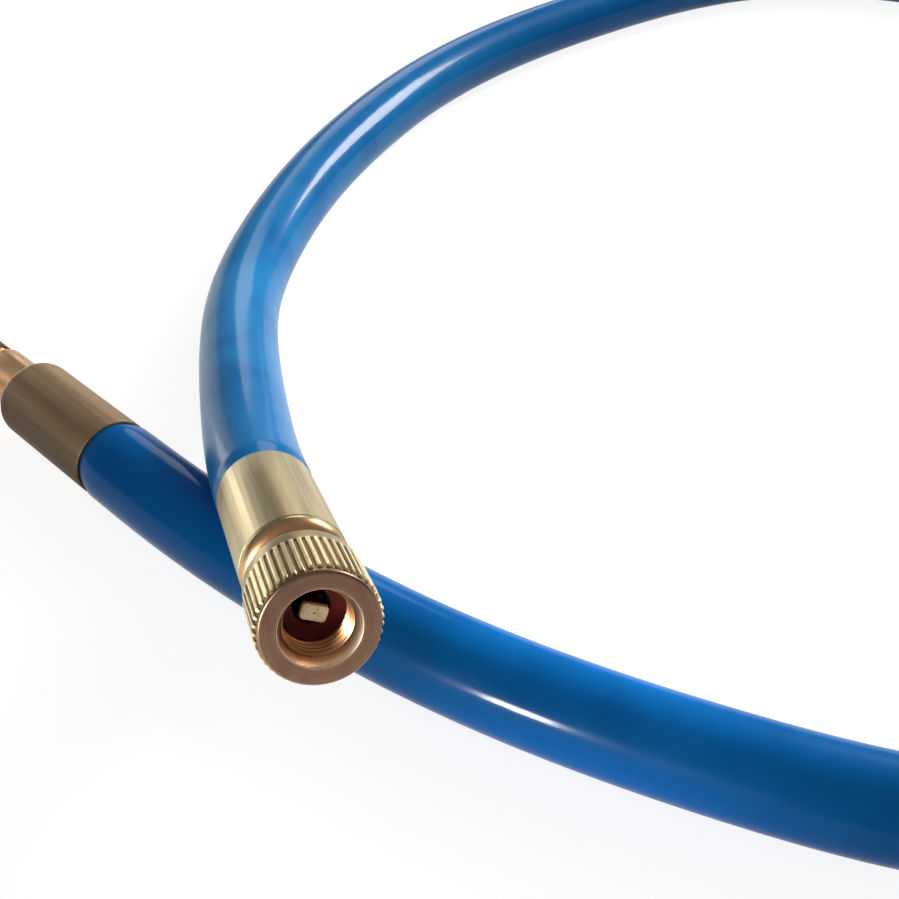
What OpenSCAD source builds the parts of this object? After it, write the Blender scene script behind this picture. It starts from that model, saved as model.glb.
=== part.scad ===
// Air hose for a tyre pump: a brass screw-on chuck with a knurled swivel nut at one end of a
// 13 mm hose, a threaded valve stem at the other. The hose lies in one loop on a flat surface,
// and the chuck rests across its other end. All sizes are in millimetres.

/* [Hose] */
// Outside diameter of the hose
hose_od = 13; // [12:0.25:14]
// Bore of the hose
hose_id = 8; // [7.5:0.25:8.5]
// How far the crimp squeezes the hose in, on the radius
crimp_squeeze = 0.6; // [0.4:0.05:0.8]

/* [Ferrules] */
// Wall of the drawn brass cup
ferrule_wall = 0.5; // [0.4:0.05:0.8]
// Length of the cup from its mouth to its closed end
ferrule_len = 24; // [20:0.5:28]
// Outside radius between the cup's side and its closed end
ferrule_end_r = 1.8; // [1.2:0.1:2]
// Rounding of the mouth's outer edge
ferrule_mouth_r = 0.3; // [0.1:0.05:0.4]

/* [Stems] */
// Bore of both stems
stem_bore = 4; // [3.6:0.1:4.2]
// Diameter of the neck that passes through the ferrule and the nut
neck_d = 8; // [7.5:0.1:8.4]
// How far the barbs bite into the hose
barb_bite = 0.3; // [0.1:0.05:0.5]
// Number of barbs on each tail
barb_count = 4; // [2:1:5]
// Distance from the ferrule's mouth to the tail's inner end
tail_start = 2; // [1:0.5:5]
// Gap between the chuck's ferrule and the nut
neck_gap = 2.8; // [1.5:0.1:4]

/* [Swivel nut] */
// Length of the nut
nut_len = 10.9; // [10.4:0.1:12]
// Diameter over the knurl
knurl_d = 13.75; // [13.4:0.05:15]
// Number of flutes in the knurl
flute_count = 46; // [30:1:56]
// Depth of a flute
flute_depth = 0.35; // [0.2:0.05:0.45]
// Length of the plain band in front of the knurl
front_band = 1.2; // [1:0.1:1.6]
// Diameter of the plain back collar
collar_d = 13.3; // [12.8:0.05:13.4]
// Length of the plain back collar
collar_len = 2.4; // [1.5:0.1:3]
// Diameter of the flat front face
face_d = 13; // [12:0.05:13.2]
// Length of the front chamfer
face_chamfer = 0.4; // [0.3:0.1:0.8]
// Width of the countersink at the face
countersink_d = 8.85; // [8.2:0.05:10]
// Depth of the countersink
countersink_depth = 1.4; // [0.8:0.1:1.8]
// Crest diameter of the internal thread
thread_bore_d = 7.15; // [6.9:0.05:7.3]
// Length of the internal thread at its crest diameter
thread_len = 2.2; // [1.8:0.1:2.6]
// Diameter of the run-out behind the thread
runout_d = 7.7; // [7.5:0.05:8.2]
// Distance from the face to the gasket shoulder
shoulder_depth = 5.4; // [4.8:0.1:5.8]
// Thickness of the turned-in back lip
lip_t = 1.4; // [1:0.1:1.8]
// Radial running clearance of the lip on the neck
lip_clear = 0.1; // [0.05:0.01:0.1]
// Axial gap between the shoulder and the gasket
gasket_gap = 0.15; // [0.1:0.05:0.3]

/* [Gasket and depressor] */
// Outside diameter of the gasket
gasket_od = 9.6; // [9:0.1:9.8]
// Hole of the gasket
gasket_id = 4.2; // [4.1:0.1:5.2]
// Thickness of the gasket
gasket_t = 1.8; // [1.4:0.1:2]
// Diameter of the flange that holds the nut
flange_d = 9.8; // [9.4:0.1:10]
// Thickness of the flange
flange_t = 1.5; // [1:0.1:1.6]
// Radial clearance of the nut's cavity round the flange
cavity_clear = 0.25; // [0.2:0.05:0.4]
// Width of the depressor's head
depressor_w = 3; // [2.6:0.1:3.6]
// Depth of the depressor's head across its flat
depressor_h = 1.9; // [1.6:0.1:2.4]
// Thickness of the depressor's head
depressor_t = 0.8; // [0.5:0.1:1]
// Distance from the nut's face to the depressor's head
depressor_depth = 3.75; // [3.7:0.05:4.2]
// Turn of the depressor about the chuck's axis, in degrees
depressor_turn = 67; // [0:1:180]

/* [Valve stem] */
// Diameter of the stem's collar
stem_collar_d = 8.6; // [8.4:0.1:9.4]
// Length of the stem's collar
stem_collar_len = 10; // [6:0.5:12]
// Radius of the fillet where the collar meets the ferrule
stem_fillet_r = 0.6; // [0.3:0.1:0.8]
// Rounding of the collar's shoulder
stem_shoulder_r = 1; // [0.4:0.1:1.2]
// Outside diameter of the tyre-valve thread
stem_thread_d = 7.7; // [7.5:0.05:7.9]
// Length of the tyre-valve thread with its run-out
stem_thread_len = 9; // [8:0.5:14]
// Diameter of the run-out groove behind the thread
stem_groove_d = 6.7; // [6.4:0.1:7]
// Width of the run-out groove
stem_groove_w = 1.5; // [0.6:0.1:2]
// Chamfer at the stem's mouth
stem_chamfer = 0.5; // [0.3:0.1:0.6]

/* [Valve core] */
// Diameter of the core's threaded pocket
core_pocket_d = 5.2; // [5:0.05:5.4]
// Depth of the core's threaded pocket
core_pocket_depth = 7.4; // [7:0.1:8]
// Length of the conical seat under the pocket
core_seat_len = 2; // [1.6:0.1:2.4]
// Distance from the stem's mouth to the plug
plug_depth = 1.4; // [1.2:0.1:2]
// Length of the plug
plug_len = 4.4; // [4:0.1:5]
// Width across the plug's slotted head
plug_head_w = 2.9; // [2.6:0.1:3.4]
// Length of the plug's slotted head
plug_head_len = 1.2; // [0.8:0.1:1.6]
// Outside diameter of the barrel
barrel_od = 3.7; // [3.5:0.05:3.8]
// Bore of the barrel
barrel_id = 2.8; // [2.7:0.05:2.9]
// Length of the barrel under the plug
barrel_len = 7.6; // [7.2:0.1:8.4]
// Thickness of the barrel's closed end
barrel_end_t = 1; // [0.8:0.1:1.2]
// Height of the barrel's seating lip
barrel_lip = 0.4; // [0.3:0.05:0.6]
// Diameter of the core's pin
pin_d = 1.2; // [1:0.05:1.3]
// Diameter of the pin's button
pin_button_d = 1.9; // [1.7:0.05:2]
// Height of the pin's button
pin_button_t = 0.6; // [0.4:0.1:0.8]
// Diameter of the collar that the spring pushes on
pin_collar_d = 2.5; // [2.3:0.05:2.55]
// Thickness of that collar
pin_collar_t = 0.5; // [0.4:0.1:0.7]
// Radial clearance of the pin in its holes
pin_clear = 0.15; // [0.1:0.05:0.2]
// Outside diameter of the cup
cup_od = 3.3; // [3.1:0.05:3.5]
// Wall of the cup
cup_wall = 0.25; // [0.2:0.05:0.3]
// Height of the cup
cup_len = 1.3; // [1.2:0.1:1.6]
// Gap between the barrel's lip and the washer
washer_gap = 0.05; // [0.05:0.05:0.1]
// Wire of the core's spring
spring_wire = 0.35; // [0.3:0.05:0.4]
// Mean diameter of the core's spring
spring_mean_d = 2.1; // [2:0.05:2.15]
// Number of turns of the core's spring
spring_turns = 5; // [4:1:6]

/* [Place on the surface] */
// X of the pump ferrule's mouth
pump_x = -6.5; // [-10:0.5:-2]
// Y of the pump ferrule's mouth
pump_y = 16.5; // [12:0.5:20]
// Heading of the pump end, in degrees from +X
pump_heading = 134.5; // [130:0.5:138]
// X of the chuck ferrule's mouth
chuck_x = 21.6; // [20:0.1:23]
// Y of the chuck ferrule's mouth
chuck_y = -12.6; // [-14:0.1:-11]
// Rise of the chuck's axis over a hose laid level on the hose below
chuck_rise = 3.2; // [3.2:0.1:4.5]
// Heading of the chuck, in degrees from +X
chuck_heading = -73.4; // [-76:0.2:-71]
// Upward tilt of the chuck, in degrees
chuck_tilt = 16.8; // [15:0.2:20]

/* [Hidden] */
$fn = 64;

// --- derived sizes ---
// How far a cutting shape runs past what it cuts
over = 1;
skin = 0.01;
hose_r = hose_od / 2;
crimped_d = hose_od - 2 * crimp_squeeze;
ferrule_od = crimped_d + 2 * ferrule_wall;
ferrule_hole_clear = 0.05;
ferrule_inner_r = max(ferrule_end_r - ferrule_wall, 0.1);
end_wall_back = ferrule_len - ferrule_wall;
hose_end_gap = 0.1;
crimped_len = end_wall_back - ferrule_inner_r - hose_end_gap;

tail_chamfer = 0.6;
barb_margin = 1;
barb_pitch = (crimped_len - tail_start - 2 * barb_margin) / barb_count;
barb_ramp = 0.6 * barb_pitch;
barb_back = 0.02 * barb_pitch;

nut_back = ferrule_len + neck_gap;
face_s = nut_back + nut_len;
thread_end = countersink_depth + thread_len;
runout_slope = (runout_d - thread_bore_d) / 2;
gasket_front = shoulder_depth + gasket_gap;
flange_front = gasket_front + gasket_t;
flange_back = flange_front + flange_t;
lip_front = nut_len - lip_t;
cavity_d = flange_d + 2 * cavity_clear;
lip_hole_d = neck_d + 2 * lip_clear;
collar_step = (knurl_d - collar_d) / 2;
collar_edge_r = 0.5;
ridge_half = 0.14;
groove_half = 0.1;
flange_chamfer = 0.2;

depressor_corner = 0.5;
shank_w = 1.8;
shank_h = 1.4;
bar_h = 1.4;
bar_len = 3;
bar_inset = 0.4;
bar_start = flange_front + bar_inset;

stem_shoulder = ferrule_len + stem_collar_len;
stem_end = stem_shoulder + stem_thread_len;
pocket_chamfer = 0.3;
plug_end = plug_depth + plug_len;
barrel_end = plug_end + barrel_len;
seat_end = core_pocket_depth + core_seat_len;
seal_gap = 0.02;
seal_len = 0.8 * core_seat_len;
barrel_chamfer = 0.3;
barrel_lip_half = 0.2;
pin_chamfer = 0.2;
collar_gap = 0.5;
pin_button_top = 0.6;
pin_collar_depth = plug_end + collar_gap;
spring_top = pin_collar_depth + pin_collar_t;
spring_bottom = barrel_end - barrel_end_t;
lip_end = barrel_end + barrel_lip;
cup_top = lip_end + washer_gap;
cup_floor = cup_top + cup_len - cup_wall;
rivet_len = 0.4;

chuck_mouth = [chuck_x, chuck_y, hose_od + hose_r + chuck_rise];
pump_mouth = [pump_x, pump_y, hose_r];

// --- the hose's route: [x, y, height over a hose that lies on the surface] ---
// The points steer a uniform cubic curve, from the pump end round the loop to the chuck.
ROUTE = [
    [35.5, -20.5, 0], [56.5, -33, 0], [77.5, -42.5, 0], [99, -50.5, 0], [123.5, -53.5, 0],
    [149, -51.5, 0], [172, -42.5, 0], [192.5, -27.5, 0], [208.5, -7.5, 0], [218, 15.5, 0],
    [222.5, 40.5, 0], [223, 65.5, 0], [222.5, 91, 0], [223, 116, 0], [223, 141.5, 0],
    [222.5, 167, 0], [220.5, 192.5, 0], [213.5, 217, 0], [199, 238, 0], [177.5, 252, 0],
    [152.5, 256.5, 0], [128, 250.5, 0], [105.5, 237, 0], [85, 220, 0], [66, 202.5, 0],
    [50, 184, 0], [36.5, 163.5, 0], [25.5, 140.5, 0], [16, 115.5, 0], [10, 90, 0],
    [7, 64.5, 0.5], [10, 38.5, 4.5]];
// Reach of the guide points at the two fittings, which makes the hose leave them straight
pump_reach = 25;
chuck_reach = 16;
hose_sides = 12;
rings_per_point = 2;

function heading(az, el = 0) = [cos(el) * cos(az), cos(el) * sin(az), sin(el)];
pump_dir = heading(pump_heading);
chuck_dir = heading(chuck_heading, chuck_tilt);
guides = concat(
    [for (k = [1, 0, -1]) pump_mouth + k * pump_reach * pump_dir],
    [for (p = ROUTE) [p[0], p[1], hose_r + p[2]]],
    [for (k = [-1, 0, 1]) chuck_mouth + k * chuck_reach * chuck_dir]);
spans = len(guides) - 3;

// Point and direction on the cubic curve that the guide points steer, u from 0 to spans
function span_of(u) = min(floor(u), spans - 1);
function weights(t) = [pow(1 - t, 3), 3 * pow(t, 3) - 6 * pow(t, 2) + 4,
    -3 * pow(t, 3) + 3 * pow(t, 2) + 3 * t + 1, pow(t, 3)] / 6;
function slopes(t) = [-pow(1 - t, 2), 3 * pow(t, 2) - 4 * t, -3 * pow(t, 2) + 2 * t + 1,
    pow(t, 2)] / 2;
function blend(i, w) = w[0] * guides[i] + w[1] * guides[i + 1] + w[2] * guides[i + 2]
    + w[3] * guides[i + 3];
function route_at(u) = blend(span_of(u), weights(u - span_of(u)));
function route_dir(u) = unit(blend(span_of(u), slopes(u - span_of(u))));
function unit(v) = v / norm(v);

// A ring of points round p, square to direction d, with a flat side underneath
function ring(p, d, r, sides) = let (side = unit(cross(d, [0, 0, 1])), up = cross(side, d))
    [for (k = [0 : sides - 1]) let (a = 360 * (k + 0.5) / sides - 90)
        p + r * (cos(a) * side + sin(a) * up)];

// Triangles between ring a and ring b, both of n points from those index numbers on
function band(a, b, n) = [for (k = [0 : n - 1]) let (j = (k + 1) % n)
    each [[a + k, b + k, b + j], [a + k, b + j, a + j]]];
function flipped(faces) = [for (f = faces) [f[2], f[1], f[0]]];

// --- how close the hose comes to itself and to the chuck that lies on it ---
samples_per_span = 10;
start_spans = 9;
end_spans = 8;
samples = [for (k = [0 : spans * samples_per_span]) route_at(k / samples_per_span)];
last_sample = len(samples) - 1;
chuck_line = [for (s = [0 : 1 : face_s]) chuck_mouth + s * chuck_dir];
start_part = [for (k = [0 : start_spans * samples_per_span]) samples[k]];
end_part = concat(
    [for (k = [last_sample - end_spans * samples_per_span : last_sample]) samples[k]],
    chuck_line);
least_gap = min([for (p = start_part) each [for (q = end_part) norm(p - q)]]) - hose_od;
hose_length = total([for (k = [1 : last_sample]) norm(samples[k] - samples[k - 1])])
    + 2 * crimped_len;
function total(v, i = 0, s = 0) = i == len(v) ? s : total(v, i + 1, s + v[i]);
echo("least gap of the hose to itself and to the chuck on it", least_gap);
echo("whole length of the hose with both crimped ends", hose_length);

// Places a module along a fitting's axis, with its ferrule's mouth at 0
module on_chuck() {
    translate(chuck_mouth) rotate([0, 90 - chuck_tilt, chuck_heading]) children();
}
module on_chuck_face() {
    on_chuck() translate([0, 0, face_s]) mirror([0, 0, 1]) children();
}
module on_pump() {
    translate(pump_mouth) rotate([0, 90, pump_heading]) children();
}
module on_core() {
    on_pump() translate([0, 0, stem_end]) mirror([0, 0, 1]) children();
}

// A quarter or other arc of points in the profile plane
function arc(cx, cy, r, a0, a1, n = 8) = [for (k = [0 : n]) let (a = a0 + (a1 - a0) * k / n)
    [cx + r * cos(a), cy + r * sin(a)]];

// --- hose ---
module hose() {
    rings = spans * rings_per_point;
    outer_r = hose_r / cos(180 / hose_sides);
    n = hose_sides;
    points = [for (k = [0 : rings]) let (u = k / rings_per_point)
        each concat(ring(route_at(u), route_dir(u), outer_r, n),
            ring(route_at(u), route_dir(u), hose_id / 2, n))];
    faces = concat(
        [for (k = [0 : rings - 1]) each flipped(band(2 * n * k, 2 * n * (k + 1), n))],
        [for (k = [0 : rings - 1]) each band(2 * n * k + n, 2 * n * (k + 1) + n, n)],
        band(0, n, n),
        flipped(band(2 * n * rings, 2 * n * rings + n, n)));
    color("royalblue") polyhedron(points, faces, convexity = 8);
}

module crimped_end() {
    color("royalblue") difference() {
        cylinder(d = crimped_d, h = crimped_len);
        translate([0, 0, -over]) cylinder(d = hose_id, h = crimped_len + 2 * over);
    }
}

module hose_chuck_end() {
    on_chuck() crimped_end();
}

module hose_pump_end() {
    on_pump() crimped_end();
}

// --- ferrule: a drawn cup with a rounded closed end round the stem ---
module ferrule() {
    r = ferrule_od / 2;
    hole_r = neck_d / 2 + ferrule_hole_clear;
    inner_r = crimped_d / 2;
    mouth = arc(r - ferrule_mouth_r, ferrule_mouth_r, ferrule_mouth_r, -90, 0, 4);
    outside = arc(r - ferrule_end_r, ferrule_len - ferrule_end_r, ferrule_end_r, 0, 90);
    inside = arc(inner_r - ferrule_inner_r, end_wall_back - ferrule_inner_r,
        ferrule_inner_r, 90, 0);
    color("darkkhaki") rotate_extrude() polygon(concat(
        [[inner_r, 0]], mouth, outside,
        [[hole_r, ferrule_len], [hole_r, end_wall_back]], inside));
}

module chuck_ferrule() {
    on_chuck() ferrule();
}

module pump_ferrule() {
    on_pump() ferrule();
}

// --- stems ---
// Outline of the barbed tail, from its inner end to the ferrule's end wall
function tail_outline() = let (r = hose_id / 2, r_barb = hose_id / 2 + barb_bite)
    concat([[stem_bore / 2, tail_start], [r - tail_chamfer, tail_start],
            [r, tail_start + tail_chamfer]],
        [for (k = [0 : barb_count - 1]) let (s = tail_start + barb_margin + k * barb_pitch)
            each [[r, s], [r_barb, s + barb_ramp], [r, s + barb_ramp + barb_back]]],
        [[r, crimped_len], [neck_d / 2, crimped_len + hose_end_gap]]);

module chuck_stem() {
    flange_far = face_s - flange_back;
    flange_near = face_s - flange_front;
    on_chuck() color("goldenrod") rotate_extrude() polygon(concat(
        tail_outline(),
        [[neck_d / 2, flange_far], [flange_d / 2 - flange_chamfer, flange_far],
            [flange_d / 2, flange_far + flange_chamfer], [flange_d / 2, flange_near],
            [stem_bore / 2, flange_near]]));
}

module valve_stem() {
    pocket_s = stem_end - core_pocket_depth;
    seat_s = stem_end - seat_end;
    shoulder = arc(stem_collar_d / 2 - stem_shoulder_r, stem_shoulder - stem_shoulder_r,
        stem_shoulder_r, 0, 90, 6);
    groove_end = stem_shoulder + stem_groove_w;
    thread_r = stem_thread_d / 2;
    run_out = thread_r - stem_groove_d / 2;
    collar_r = stem_collar_d / 2;
    fillet = arc(collar_r + stem_fillet_r, ferrule_len + stem_fillet_r, stem_fillet_r,
        -90, -180, 6);
    on_pump() color("peru") rotate_extrude() polygon(concat(
        tail_outline(),
        [[neck_d / 2, ferrule_len]],
        fillet, shoulder,
        [[stem_groove_d / 2, stem_shoulder], [stem_groove_d / 2, groove_end],
            [thread_r, groove_end + run_out], [thread_r, stem_end - stem_chamfer],
            [thread_r - stem_chamfer, stem_end], [core_pocket_d / 2 + pocket_chamfer, stem_end],
            [core_pocket_d / 2, stem_end - pocket_chamfer], [core_pocket_d / 2, pocket_s],
            [stem_bore / 2, seat_s]]));
}

// --- swivel nut: straight flutes, plain back collar, turned-in lip behind the flange ---
module fluted_disc(h) {
    pitch = 360 / flute_count;
    r_out = knurl_d / 2;
    r_in = r_out - flute_depth;
    linear_extrude(h) polygon([for (k = [0 : flute_count - 1]) let (a = k * pitch)
        each [for (p = [[r_out, -ridge_half], [r_out, ridge_half],
            [r_in, 0.5 - groove_half], [r_in, 0.5 + groove_half]])
            p[0] * [cos(a + p[1] * pitch), sin(a + p[1] * pitch)]]]);
}

module knurled_nut() {
    collar_s = nut_len - collar_len;
    root_r = knurl_d / 2 - flute_depth - skin;
    band_r = knurl_d / 2 + skin;
    root_end = collar_s - abs(collar_d / 2 - root_r);
    back = arc(collar_d / 2 - collar_edge_r, nut_len - collar_edge_r, collar_edge_r, 0, 90, 5);
    on_chuck_face() color("tan") difference() {
        union() {
            rotate_extrude() polygon(concat(
                [[0, 0], [face_d / 2, 0], [band_r, face_chamfer], [band_r, front_band],
                    [root_r, front_band + flute_depth], [root_r, root_end],
                    [collar_d / 2, collar_s]],
                back, [[0, nut_len]]));
            intersection() {
                translate([0, 0, front_band / 2]) fluted_disc(nut_len - front_band);
                rotate_extrude() polygon([
                    [0, 0], [band_r, 0], [band_r, collar_s - collar_step],
                    [collar_d / 2 - skin, collar_s + skin], [0, collar_s + skin]]);
            }
        }
        rotate_extrude() polygon([
            [0, -over], [countersink_d / 2 + skin, -over], [countersink_d / 2, 0],
            [thread_bore_d / 2, countersink_depth], [thread_bore_d / 2, thread_end],
            [runout_d / 2, thread_end + runout_slope], [runout_d / 2, shoulder_depth],
            [cavity_d / 2, shoulder_depth], [cavity_d / 2, lip_front],
            [lip_hole_d / 2, lip_front], [lip_hole_d / 2, nut_len + over],
            [0, nut_len + over]]);
    }
}

module gasket() {
    on_chuck_face() color("darkred") difference() {
        translate([0, 0, gasket_front]) cylinder(d = gasket_od, h = gasket_t);
        translate([0, 0, gasket_front - over])
            cylinder(d = gasket_id, h = gasket_t + 2 * over);
    }
}

// A flat strip with a rounded head, held by a bar that spans the stem's bore
module depressor() {
    head_end = depressor_depth + depressor_t;
    on_chuck_face() rotate([0, 0, depressor_turn]) color("silver") union() {
        translate([0, 0, depressor_depth]) linear_extrude(depressor_t)
            rounded_plate(depressor_w, depressor_h, depressor_corner);
        translate([-shank_w / 2, -shank_h / 2, head_end])
            cube([shank_w, shank_h, bar_start + bar_len - head_end]);
        intersection() {
            translate([0, 0, bar_start]) cylinder(d = stem_bore, h = bar_len);
            translate([-stem_bore, -bar_h / 2, bar_start])
                cube([2 * stem_bore, bar_h, bar_len]);
        }
    }
}

module rounded_plate(w, h, r) {
    polygon(concat(
        arc(w / 2 - r, h / 2 - r, r, 0, 90, 5), arc(r - w / 2, h / 2 - r, r, 90, 180, 5),
        arc(r - w / 2, r - h / 2, r, 180, 270, 5), arc(w / 2 - r, r - h / 2, r, 270, 360, 5)));
}

// --- valve core, measured from the stem's mouth inwards ---
module core_plug() {
    hole_d = pin_button_d + 2 * pin_clear;
    on_core() color("goldenrod") difference() {
        union() {
            translate([0, 0, plug_depth + plug_head_len])
                cylinder(d = core_pocket_d, h = plug_len - plug_head_len);
            intersection() {
                translate([0, 0, plug_depth]) cylinder(d = core_pocket_d, h = plug_head_len);
                translate([-core_pocket_d, -plug_head_w / 2, plug_depth])
                    cube([2 * core_pocket_d, plug_head_w, plug_head_len]);
            }
        }
        translate([0, 0, plug_depth - over]) cylinder(d = hole_d, h = plug_len + 2 * over);
    }
}

module core_barrel() {
    pin_hole_d = pin_d + 2 * pin_clear;
    lip_r = (pin_hole_d / 2 + barrel_od / 2) / 2;
    on_core() color("goldenrod") rotate_extrude() polygon([
        [barrel_id / 2, plug_end], [barrel_od / 2, plug_end],
        [barrel_od / 2, barrel_end - barrel_chamfer],
        [barrel_od / 2 - barrel_chamfer, barrel_end],
        [lip_r + barrel_lip_half, barrel_end], [lip_r, lip_end],
        [lip_r - barrel_lip_half, barrel_end],
        [pin_hole_d / 2, barrel_end], [pin_hole_d / 2, spring_bottom],
        [barrel_id / 2, spring_bottom]]);
}

module barrel_seal() {
    top = core_pocket_depth;
    slope = (core_pocket_d - stem_bore) / 2 / core_seat_len;
    on_core() color("firebrick") rotate_extrude() polygon([
        [barrel_od / 2, top], [core_pocket_d / 2 - seal_gap, top],
        [core_pocket_d / 2 - seal_gap - slope * seal_len, top + seal_len],
        [barrel_od / 2, top + seal_len]]);
}

module core_pin() {
    pin_end = cup_floor + cup_wall + rivet_len;
    button_end = pin_button_top + pin_button_t;
    collar_end = pin_collar_depth + pin_collar_t;
    on_core() color("gold") rotate_extrude() polygon([
        [0, pin_button_top], [pin_button_d / 2 - pin_chamfer, pin_button_top],
        [pin_button_d / 2, pin_button_top + pin_chamfer], [pin_button_d / 2, button_end],
        [pin_d / 2, button_end], [pin_d / 2, pin_collar_depth],
        [pin_collar_d / 2, pin_collar_depth], [pin_collar_d / 2, collar_end],
        [pin_d / 2, collar_end], [pin_d / 2, pin_end - pin_chamfer],
        [pin_d / 2 - pin_chamfer, pin_end], [0, pin_end]]);
}

module core_spring() {
    steps = 8;
    sides = 6;
    count = spring_turns * steps;
    r = spring_mean_d / 2;
    low = spring_top + spring_wire / 2;
    rise = spring_bottom - spring_top - spring_wire;
    points = [for (k = [0 : count]) let (a = 360 * k / steps, z = low + rise * k / count)
        each [for (j = [0 : sides - 1]) let (b = 360 * j / sides)
            [(r + spring_wire / 2 * cos(b)) * cos(a), (r + spring_wire / 2 * cos(b)) * sin(a),
                z + spring_wire / 2 * sin(b)]]];
    faces = concat(
        [for (k = [0 : count - 1]) each flipped(band(sides * k, sides * (k + 1), sides))],
        [for (j = [1 : sides - 2]) [0, j + 1, j]],
        [for (j = [1 : sides - 2]) [sides * count, sides * count + j, sides * count + j + 1]]);
    on_core() color("silver") polyhedron(points, faces, convexity = 8);
}

module core_cup() {
    inner_d = cup_od - 2 * cup_wall;
    on_core() color("goldenrod") difference() {
        translate([0, 0, cup_top]) cylinder(d = cup_od, h = cup_len);
        translate([0, 0, cup_top - over]) cylinder(d = inner_d, h = over + cup_len - cup_wall);
        translate([0, 0, cup_top - over]) cylinder(d = pin_d, h = cup_len + 2 * over);
    }
}

module cup_washer() {
    on_core() color("dimgray") difference() {
        translate([0, 0, cup_top]) cylinder(d = cup_od - 2 * cup_wall, h = cup_len - cup_wall);
        translate([0, 0, cup_top - over]) cylinder(d = pin_d, h = cup_len + 2 * over);
    }
}

hose();
hose_chuck_end();
hose_pump_end();
chuck_ferrule();
pump_ferrule();
chuck_stem();
knurled_nut();
gasket();
depressor();
valve_stem();
core_plug();
core_barrel();
barrel_seal();
core_pin();
core_spring();
core_cup();
cup_washer();
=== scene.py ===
"""Dressed model of a tyre air hose: blue hose, brass screw-on chuck and brass valve stem end.

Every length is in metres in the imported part's own frame. A fitting is modelled standing on
its own axis, with its ferrule's mouth at 0, and then laid into its seat.
"""

import logging
import math
from collections.abc import Callable, Iterable, Iterator
from contextlib import contextmanager
from dataclasses import dataclass
from enum import Enum
from itertools import accumulate
from typing import Union

import bpy
from mathutils import Matrix, Vector


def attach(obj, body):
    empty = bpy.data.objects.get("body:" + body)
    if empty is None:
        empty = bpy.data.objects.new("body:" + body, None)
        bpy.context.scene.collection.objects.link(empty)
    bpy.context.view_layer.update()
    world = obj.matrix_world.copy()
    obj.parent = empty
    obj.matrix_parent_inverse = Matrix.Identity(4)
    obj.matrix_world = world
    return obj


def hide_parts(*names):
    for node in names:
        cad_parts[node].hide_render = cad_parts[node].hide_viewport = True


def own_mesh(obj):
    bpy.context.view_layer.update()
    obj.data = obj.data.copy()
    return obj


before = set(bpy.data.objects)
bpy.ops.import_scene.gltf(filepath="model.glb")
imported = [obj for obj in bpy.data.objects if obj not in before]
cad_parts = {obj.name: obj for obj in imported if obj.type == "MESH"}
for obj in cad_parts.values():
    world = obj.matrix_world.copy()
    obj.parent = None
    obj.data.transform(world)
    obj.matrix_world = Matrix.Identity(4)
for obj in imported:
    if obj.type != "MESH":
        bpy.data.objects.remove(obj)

LOG = logging.getLogger("air_hose")
MM = 0.001
WHITE = (1.0, 1.0, 1.0)
MIX_COLOURS = (6, 7)  # the Mix node's colour sockets, whose names its other sockets share
MIX_RESULT = 2
RUN_LAYER = "run"
Pair = tuple[float, float]
Triple = tuple[float, float, float]
Profile = list[Pair]
Setting = Union[float, tuple[float, ...], "Wire"]


# ---------------------------------------------------------------- shader maths


def maths(operation: str, swapped: bool = False) -> Callable[["Wire", Setting], "Wire"]:
    """Return a method that works a wire and another value out with one Math node.

    Args:
        operation: The Math node's operation.
        swapped: Whether the other value comes first.

    Returns:
        The method.
    """

    def method(wire: "Wire", other: Setting) -> "Wire":
        """Return the Math node's result."""
        pair = (other, wire) if swapped else (wire, other)
        return wire.graph.node("ShaderNodeMath", pair, operation=operation)

    return method


class Wire:
    """A shader socket that can stand in a sum, so that masks read as plain maths."""

    __add__ = __radd__ = maths("ADD")
    __sub__ = maths("SUBTRACT")
    __rsub__ = maths("SUBTRACT", swapped=True)
    __mul__ = __rmul__ = maths("MULTIPLY")
    __truediv__ = maths("DIVIDE")
    __pow__ = maths("POWER")
    above = maths("MAXIMUM")

    def __init__(self, graph: "Graph", socket: bpy.types.NodeSocket) -> None:
        """Wrap one output socket.

        Args:
            graph: The node tree builder that the socket belongs to.
            socket: The output socket.
        """
        self.graph = graph
        self.socket = socket

    def step(self, low: float, high: float) -> "Wire":
        """Return a smooth 0 to 1 step.

        Args:
            low: The value up to which the step is 0.
            high: The value from which the step is 1.

        Returns:
            The step, which falls instead of rising where high is below low.
        """
        span = {"Value": self, "From Min": min(low, high), "From Max": max(low, high)}
        rise = self.graph.node("ShaderNodeMapRange", span, interpolation_type="SMOOTHSTEP")
        return 1.0 - rise if high < low else rise


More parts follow.
